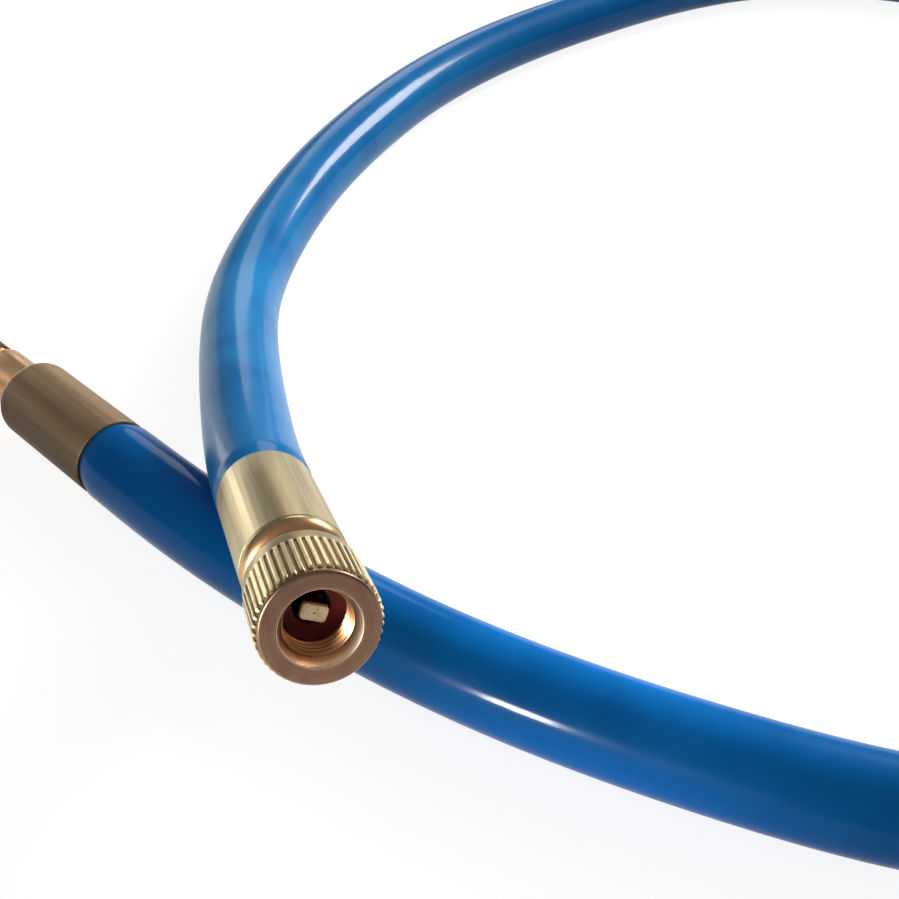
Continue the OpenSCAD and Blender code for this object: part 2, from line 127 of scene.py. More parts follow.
class Graph:
    """A node tree that is filled through one node-making method."""

    def __init__(self, tree: bpy.types.NodeTree) -> None:
        """Empty the tree.

        Args:
            tree: The node tree of a material or of the world.
        """
        self.tree = tree
        tree.nodes.clear()

    def node(
        self,
        kind: str,
        values: dict[str, Setting] | Iterable[Setting] = (),
        output: str | int = 0,
        **settings: object,
    ) -> Wire:
        """Add a node, set it up and return one of its outputs.

        Args:
            kind: The node's type.
            values: Values or wires for the input sockets, by name or in order.
            output: The output socket's name or number.
            **settings: The node's own properties, set before its sockets. "stops" holds a
                colour ramp's (position, colour) pairs.

        Returns:
            The wrapped output socket.
        """
        made = self.tree.nodes.new(kind)
        for name, value in settings.items():
            if name == "stops":
                self._set_stops(made.color_ramp, value)
            else:
                setattr(made, name, value)
        pairs = values.items() if isinstance(values, dict) else enumerate(values)
        for key, value in pairs:
            self.feed(made.inputs[key], value)
        return Wire(self, made.outputs[output])

    def feed(self, socket: bpy.types.NodeSocket, value: Setting) -> None:
        """Link a wire to an input socket, or set the socket's own value.

        Args:
            socket: The input socket.
            value: The wire or the value.
        """
        if isinstance(value, Wire):
            self.tree.links.new(value.socket, socket)
        else:
            socket.default_value = value

    def mix(self, share: Setting, first: Setting, second: Setting) -> Wire:
        """Mix two colours.

        Args:
            share: How much of the second colour shows, from 0 to 1.
            first: The colour at 0, three or four numbers or a wire.
            second: The colour at 1.

        Returns:
            The mixed colour.
        """
        made = self.tree.nodes.new("ShaderNodeMix")
        made.data_type = "RGBA"
        self.feed(made.inputs["Factor"], share)
        for number, colour in zip(MIX_COLOURS, (first, second)):
            self.feed(made.inputs[number], opaque(colour))
        return Wire(self, made.outputs[MIX_RESULT])

    def parts(self, vector: Wire) -> list[Wire]:
        """Return a vector's X, Y and Z."""
        outputs = self.node("ShaderNodeSeparateXYZ", (vector,)).socket.node.outputs
        return [Wire(self, output) for output in outputs]

    def place(self) -> Wire:
        """Return the piece's own Object coordinates."""
        return self.node("ShaderNodeTexCoord", output="Object")

    def noise(self, vector: Wire, scale: float, detail: float) -> Wire:
        """Return noise.

        Args:
            vector: The coordinates.
            scale: How many grains a unit of them holds.
            detail: The noise's octaves.

        Returns:
            The noise, about 0.5 in the middle.
        """
        values = {"Vector": vector, "Scale": scale, "Detail": detail}
        return self.node("ShaderNodeTexNoise", values)

    def stretched_noise(self, vector: Wire, stretch: Triple, detail: float) -> Wire:
        """Return noise that has its own number of grains a unit along x, y and z."""
        scaled = self.node("ShaderNodeVectorMath", (vector, stretch), operation="MULTIPLY")
        return self.noise(scaled, 1.0, detail)

    def bump(self, strength: float, depth: float, height: Wire) -> Wire:
        """Return the normal of a relief that is so strong and deep."""
        return self.node("ShaderNodeBump", {"Strength": strength, "Distance": depth, "Height": height})

    def show(self, shader: Wire, output: str = "ShaderNodeOutputMaterial") -> None:
        """Send a shader to the tree's own output, a material's or the world's."""
        self.feed(self.tree.nodes.new(output).inputs["Surface"], shader)

    @staticmethod
    def _set_stops(ramp: bpy.types.ColorRamp, stops: Iterable[tuple[float, Triple]]) -> None:
        """Give a colour ramp its stops.

        Args:
            ramp: The colour ramp.
            stops: The stops, as (position, colour).
        """
        stops = list(stops)
        while len(ramp.elements) < len(stops):
            ramp.elements.new(1.0)
        for element, (position, colour) in zip(ramp.elements, stops):
            element.position = position
            element.color = opaque(colour)


def opaque(colour: Setting) -> Setting:
    """Return a colour with its fourth number, and leave a wire as it is."""
    return colour if isinstance(colour, Wire) or len(colour) == 4 else (*colour, 1.0)


# ---------------------------------------------------------------- seats and routes


@dataclass(frozen=True)
class Seat:
    """Where a fitting lies: its ferrule's mouth and the way its axis points.

    Attributes:
        mouth: The middle of the ferrule's mouth.
        heading: The axis' turn from +X, in degrees.
        tilt: The axis' rise from the surface, in degrees.
    """

    mouth: Triple
    heading: float
    tilt: float = 0.0

    @property
    def matrix(self) -> Matrix:
        """The matrix that lays a standing fitting into the seat."""
        turn = Matrix.Rotation(math.radians(self.heading), 4, "Z")
        lean = Matrix.Rotation(math.radians(90.0 - self.tilt), 4, "Y")
        return Matrix.Translation(self.mouth) @ turn @ lean

    @property
    def direction(self) -> Vector:
        """The way out of the hose, along the fitting's axis."""
        return self.matrix.to_3x3() @ Vector((0.0, 0.0, 1.0))

    def point(self, along: float) -> Vector:
        """Return the point on the axis that lies so far from the mouth."""
        return Vector(self.mouth) + along * self.direction


class Body(Enum):
    """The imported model's bodies."""

    HOSE_LINE = "hose_line"
    SWIVEL_NUT = "swivel_nut"


class Slot(Enum):
    """The record's material slots."""

    HOSE = "hose"
    FERRULE_BRASS = "ferrule_brass"
    DARK_BRASS = "dark_brass"
    NUT_BRASS = "nut_brass"
    STEEL = "steel"


HOSE_RADIUS = 6.5 * MM
THREAD_PITCH = 25.4 * MM / 32.0
PUMP_SEAT = Seat((-6.5 * MM, 16.5 * MM, HOSE_RADIUS), heading=134.5)
CHUCK_SEAT = Seat((21.6 * MM, -12.6 * MM, 22.7 * MM), heading=-73.4, tilt=16.8)


# ---------------------------------------------------------------- finishes


def on_axis(graph: Graph, seat: Seat) -> tuple[Wire, Wire, Wire]:
    """Return object coordinates measured on a fitting's own axis.

    Args:
        graph: The node tree builder.
        seat: The fitting's seat.

    Returns:
        The whole vector, the distance along the axis and the distance from it, in metres.
    """
    laid = seat.matrix
    place = {"Vector": graph.place(), "Location": laid.translation, "Rotation": laid.to_euler()}
    vector = graph.node("ShaderNodeMapping", place, vector_type="TEXTURE")
    x, y, along = graph.parts(vector)
    return vector, along, (x * x + y * y) ** 0.5


@dataclass(frozen=True)
class Finish:
    """What every finish has: a name and the base of a Principled surface.

    Attributes:
        name: The material's name.
    """

    name: str

    @staticmethod
    def surface(graph: Graph, **values: Setting) -> None:
        """Add the Principled surface and the material's output.

        Args:
            graph: The node tree builder.
            **values: The sockets' values or wires, with _ for each space.
        """
        named = {
            key.replace("_", " "): opaque(value) if isinstance(value, tuple) else value
            for key, value in values.items()
        }
        graph.show(graph.node("ShaderNodeBsdfPrincipled", named, "BSDF"))

    def material(self) -> bpy.types.Material:
        """Make the finish's material, or find it again.

        Returns:
            The material.
        """
        known = bpy.data.materials.get(self.name)
        if known is not None:
            return known
        made = bpy.data.materials.new(self.name)
        made.use_nodes = True
        self.build(Graph(made.node_tree))
        return made

    def build(self, graph: Graph) -> None:
        """Fill the material's node tree."""
        raise NotImplementedError


@dataclass(frozen=True)
class HoseFinish(Finish):
    """Soft-glossed blue hose with faint lengthwise clouds, painted light and shade along its length and a
    painted glow on one stretch.

    Attributes:
        painted_light_tones: The wall's blue at places along the hose, with painted light and shade in it,
            as (share of its length, colour).
        shade: The deeper blue of its cloudy streaks.
        clear: The brighter blue of a painted glow low on its outer side.
        glow_start: The shares of the length between which the painted glow sets in.
        glow_end: The shares of the length between which it ends, the far one first.
        glow_edge: The shares of the way round between which it ends, the far one first.
        length: The hose's length.
    """

    # Painted light and shade along the hose: darker near the pump end and past the lit stretch, lighter
    # on the upper run by the chuck.
    painted_light_tones: tuple[tuple[float, Triple], ...] = (
        (0.032, (0.001, 0.12, 0.4)),
        (0.09, (0.002, 0.195, 0.62)),
        (0.12, (0.003, 0.24, 0.78)),
        (0.155, (0.001, 0.14, 0.44)),
        (0.5, (0.002, 0.17, 0.5)),
        (0.74, (0.006, 0.16, 0.44)),
        (0.85, (0.02, 0.27, 0.64)),
        (0.93, (0.028, 0.3, 0.68)),
        (0.98, (0.008, 0.23, 0.58)),
    )
    shade: Triple = (0.001, 0.12, 0.4)
    # The painted glow's brighter blue, and where it lies along and round the hose.
    clear: Triple = (0.002, 0.29, 1.0)
    glow_start: Pair = (0.085, 0.115)
    glow_end: Pair = (0.155, 0.12)
    glow_edge: Pair = (0.38, 0.24)
    length: float = 0.934

    def build(self, graph: Graph) -> None:
        """Lay painted light and shade along the length, clouds, lengthwise streaks and a painted glow
        under a thin, slightly wavy clear skin.

        Args:
            graph: The node tree builder.
        """
        run = graph.node("ShaderNodeUVMap", uv_map=RUN_LAYER)
        along, around, _ = graph.parts(run)
        share = along / self.length
        # The wall's blue with painted light and shade along the length.
        painted_light_tone = graph.node("ShaderNodeValToRGB", (share,), stops=self.painted_light_tones)
        streaks = graph.stretched_noise(run, (22.0, 4.0, 1.0), 3.0)
        place = graph.place()
        clouds = graph.noise(place, 70.0, 1.5)
        dull = streaks.step(0.35, 0.75) * 0.4 + clouds.step(0.4, 0.65) * 0.35
        cloudy = graph.mix(dull, painted_light_tone, self.shade)
        # Painted glow: a brighter blue low on the outer side of one stretch of the lower run.
        stretch = share.step(*self.glow_start) * share.step(*self.glow_end)
        painted_glow_mask = stretch * around.step(*self.glow_edge)
        peel = graph.noise(place, 420.0, 2.0)
        self.surface(
            graph,
            Base_Color=graph.mix(painted_glow_mask, cloudy, self.clear),
            Roughness=0.25 + 0.1 * streaks,
            IOR=1.09,
            Coat_Weight=0.24,
            Coat_Roughness=0.11,
            Coat_IOR=1.4,
            Normal=graph.bump(0.5, 0.3 * MM, 0.3 * peel + clouds),
        )


@dataclass(frozen=True)
class BrassFinish(Finish):
    """Brass with tool marks that follow a fitting's own axis.

    Attributes:
        seat: The fitting's seat.
        colour: The clean metal's colour.
        tarnish: The colour of its dull streaks.
        roughness: The polish, before its marks.
        drawn: How dense the marks along the axis are, in marks a metre round it.
        turned: How dense the marks round the axis are, in marks a metre along it.
        marks: The depth of the marks.
    """

    seat: Seat = CHUCK_SEAT
    colour: Triple = (0.64, 0.53, 0.29)
    tarnish: Triple = (0.37, 0.275, 0.125)
    roughness: float = 0.3
    drawn: float = 2600.0
    turned: float = 40.0
    marks: float = 0.02 * MM

    def metal(self, graph: Graph, vector: Wire) -> tuple[Wire, Wire]:
        """Streak the metal with tarnish.

        Args:
            graph: The node tree builder.
            vector: The coordinates on the fitting's own axis.

        Returns:
            The metal's colour and its marks.
        """
        broad = (self.drawn * 0.16, self.drawn * 0.16, self.turned * 0.5)
        cloud = graph.stretched_noise(vector, broad, 3.0)
        lines = graph.stretched_noise(vector, (self.drawn, self.drawn, self.turned), 2.0)
        dull = cloud.step(0.32, 0.68) * 0.7 + 0.3 * lines.step(0.35, 0.65)
        return graph.mix(dull, self.colour, self.tarnish), lines

    def build(self, graph: Graph) -> None:
        """Streak the metal with tarnish and run fine marks over it.

        Args:
            graph: The node tree builder.
        """
        vector, _, _ = on_axis(graph, self.seat)
        colour, lines = self.metal(graph, vector)
        self.finish_metal(graph, colour, lines, self.roughness + 0.14 * lines)

    def finish_metal(self, graph: Graph, colour: Wire, marks: Wire, rough: Wire) -> None:
        """Give the surface its colour and polish and press the marks into it."""
        normal = graph.bump(0.35, self.marks, marks)
        self.surface(graph, Base_Color=colour, Metallic=1.0, Roughness=rough, Normal=normal)


@dataclass(frozen=True)
class CupFinish(BrassFinish):
    """Drawn brass with a painted reflection on its closed end and painted shade on one side.

    Attributes:
        end_at: How far from the mouth the closed end's rounding starts.
        end_edge: The radii between which the painted reflection on the closed end sets in, the outer one
            first.
        end_reflection_colour: The closed end's colour, a painted reflection.
        shaded_side_colour: The colour of the side in painted shade.
        shaded_side: Where the side in painted shade faces, as shares of down and of the axis' own Y.
        shade_spread: How far out to that side the painted shade starts and is darkest.
    """

    end_at: float = 22.1 * MM
    end_edge: Pair = (6.3 * MM, 5.9 * MM)
    end_reflection_colour: Triple = (0.78, 0.42, 0.2)
    shaded_side_colour: Triple = (0.34, 0.25, 0.11)
    shaded_side: Pair = (1.0, 0.0)
    shade_spread: Pair = (-5.0 * MM, 2.5 * MM)

    def build(self, graph: Graph) -> None:
        """Draw the marks along the side, paint a reflection on the closed end and paint shade on one
        side.

        Args:
            graph: The node tree builder.
        """
        vector, along, radius = on_axis(graph, self.seat)
        metal, lines = self.metal(graph, vector)
        # Painted shade: the metal darkens towards one side of the cup.
        facing = (vector, (*self.shaded_side, 0.0))
        out = graph.node("ShaderNodeVectorMath", facing, "Value", operation="DOT_PRODUCT")
        colour = graph.mix(out.step(*self.shade_spread) * 0.85, metal, self.shaded_side_colour)
        # Painted reflection: the closed end's rounding takes a colour of its own.
        end = along.step(self.end_at, self.end_at + 0.15 * MM)
        end_reflection_mask = end * radius.step(*self.end_edge)
        rough = self.roughness + 0.14 * lines - 0.05 * end
        self.finish_metal(graph, graph.mix(end_reflection_mask, colour, self.end_reflection_colour), lines * (1.0 - end), rough)


@dataclass(frozen=True)
class NutFinish(Finish):
    """Turned brass nut: bright knurl with painted shade in its flutes, a face and thread darkened by
    painted shade, a painted highlight on the face's rim and a painted reflection in the countersink.

    Attributes:
        seat: The chuck's seat.
        face_at: How far the front face is from the ferrule's mouth.
        knurl_radius: The radius over the knurl.
        rim: The radii between which a painted highlight lightens the face towards its rim.
        mouth: The radii between which the face turns into the countersink, the outer one first.
        bore: The radii between which the countersink turns into the thread, the outer one first.
        bright: The metal on the ridges.
        groove: The darker colour in the flutes, painted shade.
        face: The front face's colour, darkened by painted shade.
        worn: The lighter colour of the face's turning marks and of the painted highlight on its rim.
        bevel: The countersink's colour, lightened by a painted reflection.
        thread: The thread's colour, darkened by painted shade in the bore.
    """

    seat: Seat = CHUCK_SEAT
    face_at: float = 37.7 * MM
    knurl_radius: float = 6.875 * MM
    rim: Pair = (6.0 * MM, 6.4 * MM)
    mouth: Pair = (4.6 * MM, 4.45 * MM)
    bore: Pair = (3.92 * MM, 3.84 * MM)
    bright: Triple = (0.92, 0.77, 0.45)
    groove: Triple = (0.26, 0.165, 0.06)
    face: Triple = (0.19, 0.1, 0.065)
    worn: Triple = (0.4, 0.26, 0.18)
    bevel: Triple = (0.9, 0.68, 0.48)
    thread: Triple = (0.5, 0.23, 0.105)

    def build(self, graph: Graph) -> None:
        """Colour the nut by radius and depth, with turning marks on the face; the flutes, face and thread
        carry painted shade, the face's rim a painted highlight and the countersink a painted reflection.

        Args:
            graph: The node tree builder.
        """
        vector, along, radius = on_axis(graph, self.seat)
        fine = {"W": radius, "Scale": 9000.0, "Detail": 2.0}
        ring = graph.node("ShaderNodeTexNoise", fine, noise_dimensions="1D")
        cloud = graph.noise(vector, 380.0, 4.0)
        ridge = radius.step(self.knurl_radius - 0.3 * MM, self.knurl_radius - 0.05 * MM)
        face = along.step(self.face_at - 0.6 * MM, self.face_at - 0.3 * MM)
        mouth = radius.step(*self.mouth)
        bore = radius.step(*self.bore)
        # Painted shade: the flutes take a darker colour than the ridges.
        side = graph.mix(ridge, self.groove, self.bright)
        # The face lightens along its turning marks and, as a painted highlight, towards its rim.
        lighter = ring.step(0.45, 0.75) * cloud.step(0.35, 0.6) + radius.step(*self.rim) * 0.5
        # Painted shade: the face takes a darker colour than the side.
        outer = graph.mix(face, side, graph.mix(lighter * 0.7, self.face, self.worn))
        # Painted reflection: a paler countersink. Painted shade: a darker thread.
        colour = graph.mix(bore, graph.mix(mouth, outer, self.bevel), self.thread)
        self.surface(
            graph,
            Base_Color=graph.mix(cloud.step(0.5, 0.8) * 0.35, colour, self.face),
            Metallic=1.0,
            Roughness=0.27 + 0.12 * cloud + 0.06 * ring,
            Normal=graph.bump(0.25, 0.012 * MM, ring),
        )


@dataclass(frozen=True)
class PlateFinish(Finish):
    """Cream-plated steel of the depressor, with a small punch mark in its middle.

    Attributes:
        seat: The chuck's seat.
        colour: The plating's colour.
        worn: The colour of its worn patches.
        shank_shade_and_mark: The dark colour of the shank, painted shade, and of the punch mark.
        mark: The punch mark's radius.
        head_at: How far the head's back is from the ferrule's mouth.
    """

    seat: Seat = CHUCK_SEAT
    colour: Triple = (0.8, 0.66, 0.42)
    worn: Triple = (0.6, 0.44, 0.24)
    shank_shade_and_mark: Triple = (0.06, 0.025, 0.02)
    mark: float = 0.17 * MM
    head_at: float = 33.15 * MM

    def build(self, graph: Graph) -> None:
        """Darken the plating behind the head as painted shade, darken the punch mark and sink it.

        Args:
            graph: The node tree builder.
        """
        vector, along, radius = on_axis(graph, self.seat)
        cloud = graph.noise(vector, 1500.0, 3.0)
        dot = radius.step(self.mark, 0.5 * self.mark)
        plate = graph.mix(cloud.step(0.45, 0.75), self.colour, self.worn)
        head = along.step(self.head_at - 0.2 * MM, self.head_at + 0.2 * MM)
        self.surface(
            graph,
            # Painted shade: the shank and bar behind the head are near black. The punch mark is darker
            # too.
            Base_Color=graph.mix(head * (1.0 - 0.8 * dot), self.shank_shade_and_mark, plate),
            Metallic=0.3,
            Roughness=0.34 + 0.1 * cloud,
            Normal=graph.bump(0.5, 0.05 * MM, 1.0 - dot),
        )


@dataclass(frozen=True)
class PlainFinish(Finish):
    """Rubber, steel or another plain stuff with a fine cloud and grain.

    Attributes:
        colour: The stuff's colour.
        worn: The colour of its lighter or duller patches.
        roughness: The polish.
        metallic: 1 for a metal, 0 for anything else.
        grain: How many grains a metre holds.
        relief: The grain's depth.
    """

    colour: Triple = (0.5, 0.5, 0.5)
    worn: Triple = (0.4, 0.4, 0.4)
    roughness: float = 0.5
    metallic: float = 0.0
    grain: float = 4000.0
    relief: float = 0.01 * MM

    def build(self, graph: Graph) -> None:
        """Cloud the colour and put a fine grain on it.

        Args:
            graph: The node tree builder.
        """
        place = graph.place()
        cloud = graph.noise(place, 500.0, 3.0)
        self.surface(
            graph,
            Base_Color=graph.mix(cloud.step(0.4, 0.75), self.colour, self.worn),
            Metallic=self.metallic,
            Roughness=self.roughness + 0.1 * cloud,
            Normal=graph.bump(0.3, self.relief, graph.noise(place, self.grain, 2.0)),
        )


# Both cups carry painted shade on one side and a painted reflection on the closed end; the pump cup's
# shaded side is near black.
CHUCK_BRASS = CupFinish("drawn_brass", marks=0.015 * MM)
PUMP_BRASS = CupFinish(
    "dark_drawn_brass",
    seat=PUMP_SEAT,
    colour=(0.41, 0.29, 0.17),
    tarnish=(0.24, 0.155, 0.09),
    end_reflection_colour=(0.34, 0.21, 0.12),
    shaded_side_colour=(0.03, 0.021, 0.013),
    shaded_side=(0.5, 0.87),
    shade_spread=(-3.4 * MM, 4.8 * MM),
    roughness=0.58,
    drawn=1500.0,
    turned=25.0,
    marks=0.008 * MM,
)
STEM_BRASS = BrassFinish(
    "turned_stem",
    seat=PUMP_SEAT,
    colour=(0.6, 0.35, 0.17),
    tarnish=(0.27, 0.13, 0.06),
    roughness=0.26,
    drawn=900.0,
    turned=60.0,
    marks=0.006 * MM,
)
CORE_BRASS = BrassFinish(
    "turned_brass",
    seat=PUMP_SEAT,
    colour=(0.78, 0.55, 0.3),
    tarnish=(0.5, 0.32, 0.16),
    roughness=0.22,
    drawn=300.0,
    turned=3000.0,
)
# The chuck stem's brass, darkened to near black as painted shade in its bore.
SHADED_NECK_BRASS = BrassFinish(
    "neck_brass_painted_shade",
    colour=(0.22, 0.11, 0.06),
    tarnish=(0.11, 0.055, 0.03),
    drawn=300.0,
    turned=3000.0,
)
RED_RUBBER = PlainFinish("washer_red", (0.17, 0.016, 0.018), (0.24, 0.03, 0.03), roughness=0.5)
BLACK_RUBBER = PlainFinish("washer_black", (0.02, 0.02, 0.02), (0.04, 0.04, 0.04), roughness=0.6)
SPRING_STEEL = PlainFinish("spring_steel", (0.72, 0.7, 0.66), (0.6, 0.58, 0.52), 0.3, metallic=1.0)
NODE_FINISHES: dict[str, Finish] = {
    "chuck_stem": SHADED_NECK_BRASS,
    "gasket": RED_RUBBER,
    "core_plug": CORE_BRASS,
    "core_barrel": CORE_BRASS,
    "barrel_seal": RED_RUBBER,
    "core_pin": CORE_BRASS,
    "core_cup": CORE_BRASS,
    "cup_washer": BLACK_RUBBER,
}


# ---------------------------------------------------------------- modelling by hand


def deselect() -> None:
    """Leave every object deselected, with the work in object mode."""
    if bpy.context.object is not None and bpy.context.object.mode != "OBJECT":
        bpy.ops.object.mode_set(mode="OBJECT")
    bpy.ops.object.select_all(action="DESELECT")


def take_up(piece: bpy.types.Object) -> None:
    """Make a piece the only selected and the active one.

    Args:
        piece: The piece.
    """
    deselect()
    piece.select_set(True)
    bpy.context.view_layer.objects.active = piece


def primitive(name: str, add: Callable[..., set[str]], **settings: object) -> bpy.types.Object:
    """Add one of Blender's own shapes.

    Args:
        name: The piece's name.
        add: The operator that adds it.
        **settings: The operator's settings.

    Returns:
        The shape.
    """
    deselect()
    add(**settings)
    bpy.context.object.name = name
    return bpy.context.object


def modify(piece: bpy.types.Object, kind: str, **settings: object) -> None:
    """Give a piece a modifier and apply it.

    Args:
        piece: The piece.
        kind: The modifier's type.
        **settings: The modifier's settings.
    """
    take_up(piece)
    modifier = piece.modifiers.new(kind.lower(), kind)
    for name, value in settings.items():
        setattr(modifier, name, value)
    bpy.ops.object.modifier_apply(modifier=modifier.name)


def placed(name: str, data: bpy.types.ID) -> bpy.types.Object:
    """Put data into the scene as a new object at the origin.

    Args:
        name: The object's name.
        data: Its mesh, lamp or camera.

    Returns:
        The object.
    """
    made = bpy.data.objects.new(name, data)
    bpy.context.scene.collection.objects.link(made)
    return made


@contextmanager
def editing(piece: bpy.types.Object, whole: bool = True) -> Iterator[None]:
    """Hold a piece in edit mode.

    Args:
        piece: The piece.
        whole: Whether all of it is selected first, and not only what was chosen.

    Yields:
        Nothing, while the piece is in edit mode.
    """
    take_up(piece)
    bpy.ops.object.mode_set(mode="EDIT")
    if whole:
        bpy.ops.mesh.select_all(action="SELECT")
    yield
    bpy.ops.object.mode_set(mode="OBJECT")


def arc(centre: Pair, radius: float, start: float, end: float, steps: int = 6) -> Profile:
    """Return points on an arc of a profile.

    Args:
        centre: The arc's centre, as (radius, along).
        radius: The arc's radius.
        start: The first point's angle in degrees, 0 outwards and 90 along the axis.
        end: The last point's angle.
        steps: The number of straight steps.

    Returns:
        The points, both ends included.
    """
    angles = [math.radians(start + (end - start) * k / steps) for k in range(steps + 1)]
    return [(centre[0] + radius * math.cos(a), centre[1] + radius * math.sin(a)) for a in angles]


def turned(name: str, profile: Profile, sides: int) -> bpy.types.Object:
    """Turn a closed profile into a ring-shaped piece that stands on the Z axis.

    Args:
        name: The piece's name.
        profile: The outline's points as (radius, along), in order round the section.
        sides: The number of columns round the axis.

    Returns:
        The piece, closed and with its faces outwards.
    """
    radius, along = profile[0]
    circle = {"vertices": sides, "radius": radius, "location": (0.0, 0.0, along)}
    piece = primitive(name, bpy.ops.mesh.primitive_circle_add, **circle)
    with editing(piece):
        for next_radius, next_along in [*profile[1:], profile[0]]:
            rise = {"value": (0.0, 0.0, next_along - along)}
            bpy.ops.mesh.extrude_edges_move(TRANSFORM_OT_translate=rise)
            grow = next_radius / radius
            bpy.ops.transform.resize(value=(grow, grow, 1.0), center_override=(0.0, 0.0, next_along))
            radius, along = next_radius, next_along
        bpy.ops.mesh.select_all(action="SELECT")
        bpy.ops.mesh.remove_doubles(threshold=0.0005 * MM)
        bpy.ops.mesh.normals_make_consistent(inside=False)
    bpy.ops.object.transform_apply(location=True, rotation=True, scale=True)
    return piece


def helix_ridge(
    name: str, section: Profile, pitch: float, turns: float, start: float, sides: int
) -> bpy.types.Object:
    """Wind a small closed section into a thread's ridge.

    Args:
        name: The piece's name.
        section: The ridge's section as (radius, along) points, round its outline, of which
            the first and the last lie under the wall.
        pitch: The rise in one turn.
        turns: The number of turns.
        start: Where along the axis the first section stands.
        sides: The number of steps in one turn.

    Returns:
        The ridge, which sinks into its wall at both closed ends.
    """
    cap = {"vertices": len(section), "radius": pitch, "fill_type": "NGON"}
    piece = primitive(name, bpy.ops.mesh.primitive_circle_add, **cap)
    steps = round(turns * sides)
    fade, least = sides // 3, 0.08
    heights = [max(min(k, steps - k, fade) / fade, least) for k in range(steps + 1)]
    root = section[0][0]
    for vertex, (radius, along) in zip(piece.data.vertices, section):
        vertex.co = (root + (radius - root) * heights[0], 0.0, start + along * heights[0])
    rise = {"value": (0.0, 0.0, pitch / sides)}
    turn = 2.0 * math.pi / sides
    with editing(piece):
        for k in range(1, steps + 1):
            bpy.ops.mesh.extrude_region_move(TRANSFORM_OT_translate=rise)
            bpy.ops.transform.rotate(value=-turn, orient_axis="Z", center_override=(0.0, 0.0, 0.0))
            grow = heights[k] / heights[k - 1]
            if grow != 1.0:
                foot = (root * math.cos(turn * k), root * math.sin(turn * k), start + pitch * k / sides)
                bpy.ops.transform.resize(value=(grow, grow, grow), center_override=foot)
        bpy.ops.mesh.select_all(action="SELECT")
        bpy.ops.mesh.normals_make_consistent(inside=False)
    return piece


def thread_section(root: float, crest: float) -> Profile:
    """Return a thread's section, which starts and ends a little under the wall.

    Args:
        root: The radius of the thread's roots, and so of the wall.
        crest: The radius of its crests.

    Returns:
        The section as (radius, along) points.
    """
    base, flat, sunk = 0.42 * THREAD_PITCH, 0.07 * THREAD_PITCH, 0.05 * MM
    foot = root + math.copysign(sunk, root - crest)
    return [(foot, -base), (crest, -flat), (crest, flat), (foot, base)]


def choose(
    mesh: bpy.types.Mesh, chosen: Iterable[bpy.types.MeshVertex | bpy.types.MeshEdge], edges: bool = False
) -> None:
    """Select only these vertices or edges of a mesh, ready for edit mode.

    Args:
        mesh: The mesh.
        chosen: The vertices or edges.
        edges: Whether they are edges.
    """
    bpy.context.tool_settings.mesh_select_mode = (not edges, edges, False)
    for items in (mesh.vertices, mesh.edges, mesh.polygons):
        items.foreach_set("select", [False] * len(items))
    for item in chosen:
        item.select = True


def block(name: str, size: Triple, along: float, corner: float, edge: float) -> bpy.types.Object:
    """Make a block on the Z axis with round corners and softened edges.

    Args:
        name: The piece's name.
        size: Its width, depth and length along the axis.
        along: How far its middle is along the axis.
        corner: The rounding of its four long edges.
        edge: The rounding of its ends.

    Returns:
        The block.
    """
    cube = {"size": 1.0, "location": (0.0, 0.0, along), "scale": size}
    piece = primitive(name, bpy.ops.mesh.primitive_cube_add, **cube)
    bpy.ops.object.transform_apply(location=True, rotation=True, scale=True)
    mesh = piece.data
    level = [vertex.co.z > along for vertex in mesh.vertices]
    choose(mesh, [e for e in mesh.edges if level[e.vertices[0]] != level[e.vertices[1]]], edges=True)
    with editing(piece, whole=False):
        bpy.ops.mesh.bevel(offset=corner, offset_type="OFFSET", segments=5, affect="EDGES")
    sharp = math.radians(60.0)
    modify(piece, "BEVEL", limit_method="ANGLE", angle_limit=sharp, width=edge, segments=3)
    return piece


def weld(piece: bpy.types.Object, other: bpy.types.Object) -> None:
    """Unite another solid with a piece and delete the other."""
    modify(piece, "BOOLEAN", operation="UNION", solver="EXACT", object=other)
    bpy.data.objects.remove(other)


def joined(pieces: list[bpy.types.Object]) -> bpy.types.Object:
    """Join pieces into the first of them.

    Args:
        pieces: The pieces.

    Returns:
        The first piece, with the others in it.
    """
    take_up(pieces[0])
    for piece in pieces[1:]:
        piece.select_set(True)
    bpy.ops.object.join()
    return pieces[0]


def lay(piece: bpy.types.Object, seat: Seat) -> None:
    """Move a standing piece's mesh into its seat, with its object still at the origin."""
    piece.data.transform(seat.matrix)
    piece.data.update()


def seat_piece(
    piece: bpy.types.Object,
    body: Body,
    replaced: Iterable[str],
    finish: Finish,
    angle: float = 32.0,
) -> None:
    """Dress a finished piece and tie it to the frame.

    Args:
        piece: The piece, in place.
        body: The body that it rides on.
        replaced: The nodes that it stands for.
        finish: The piece's finish.
        angle: The angle in degrees up to which its edges are shaded smooth.
    """
    take_up(piece)
    bpy.ops.object.shade_smooth_by_angle(angle=math.radians(angle))
    piece.data.materials.clear()
    piece.data.materials.append(finish.material())
    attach(piece, body.value)
    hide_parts(*replaced)
    LOG.info("%s: %d faces on body %s", piece.name, len(piece.data.polygons), body.value)


# ---------------------------------------------------------------- camera, floor and light


class Lamp(Enum):
    """What a lamp does: light matt surfaces, show in glossy ones, or both."""

    LIGHT = "light"
    GLOSS = "gloss"
    BOTH = "both"


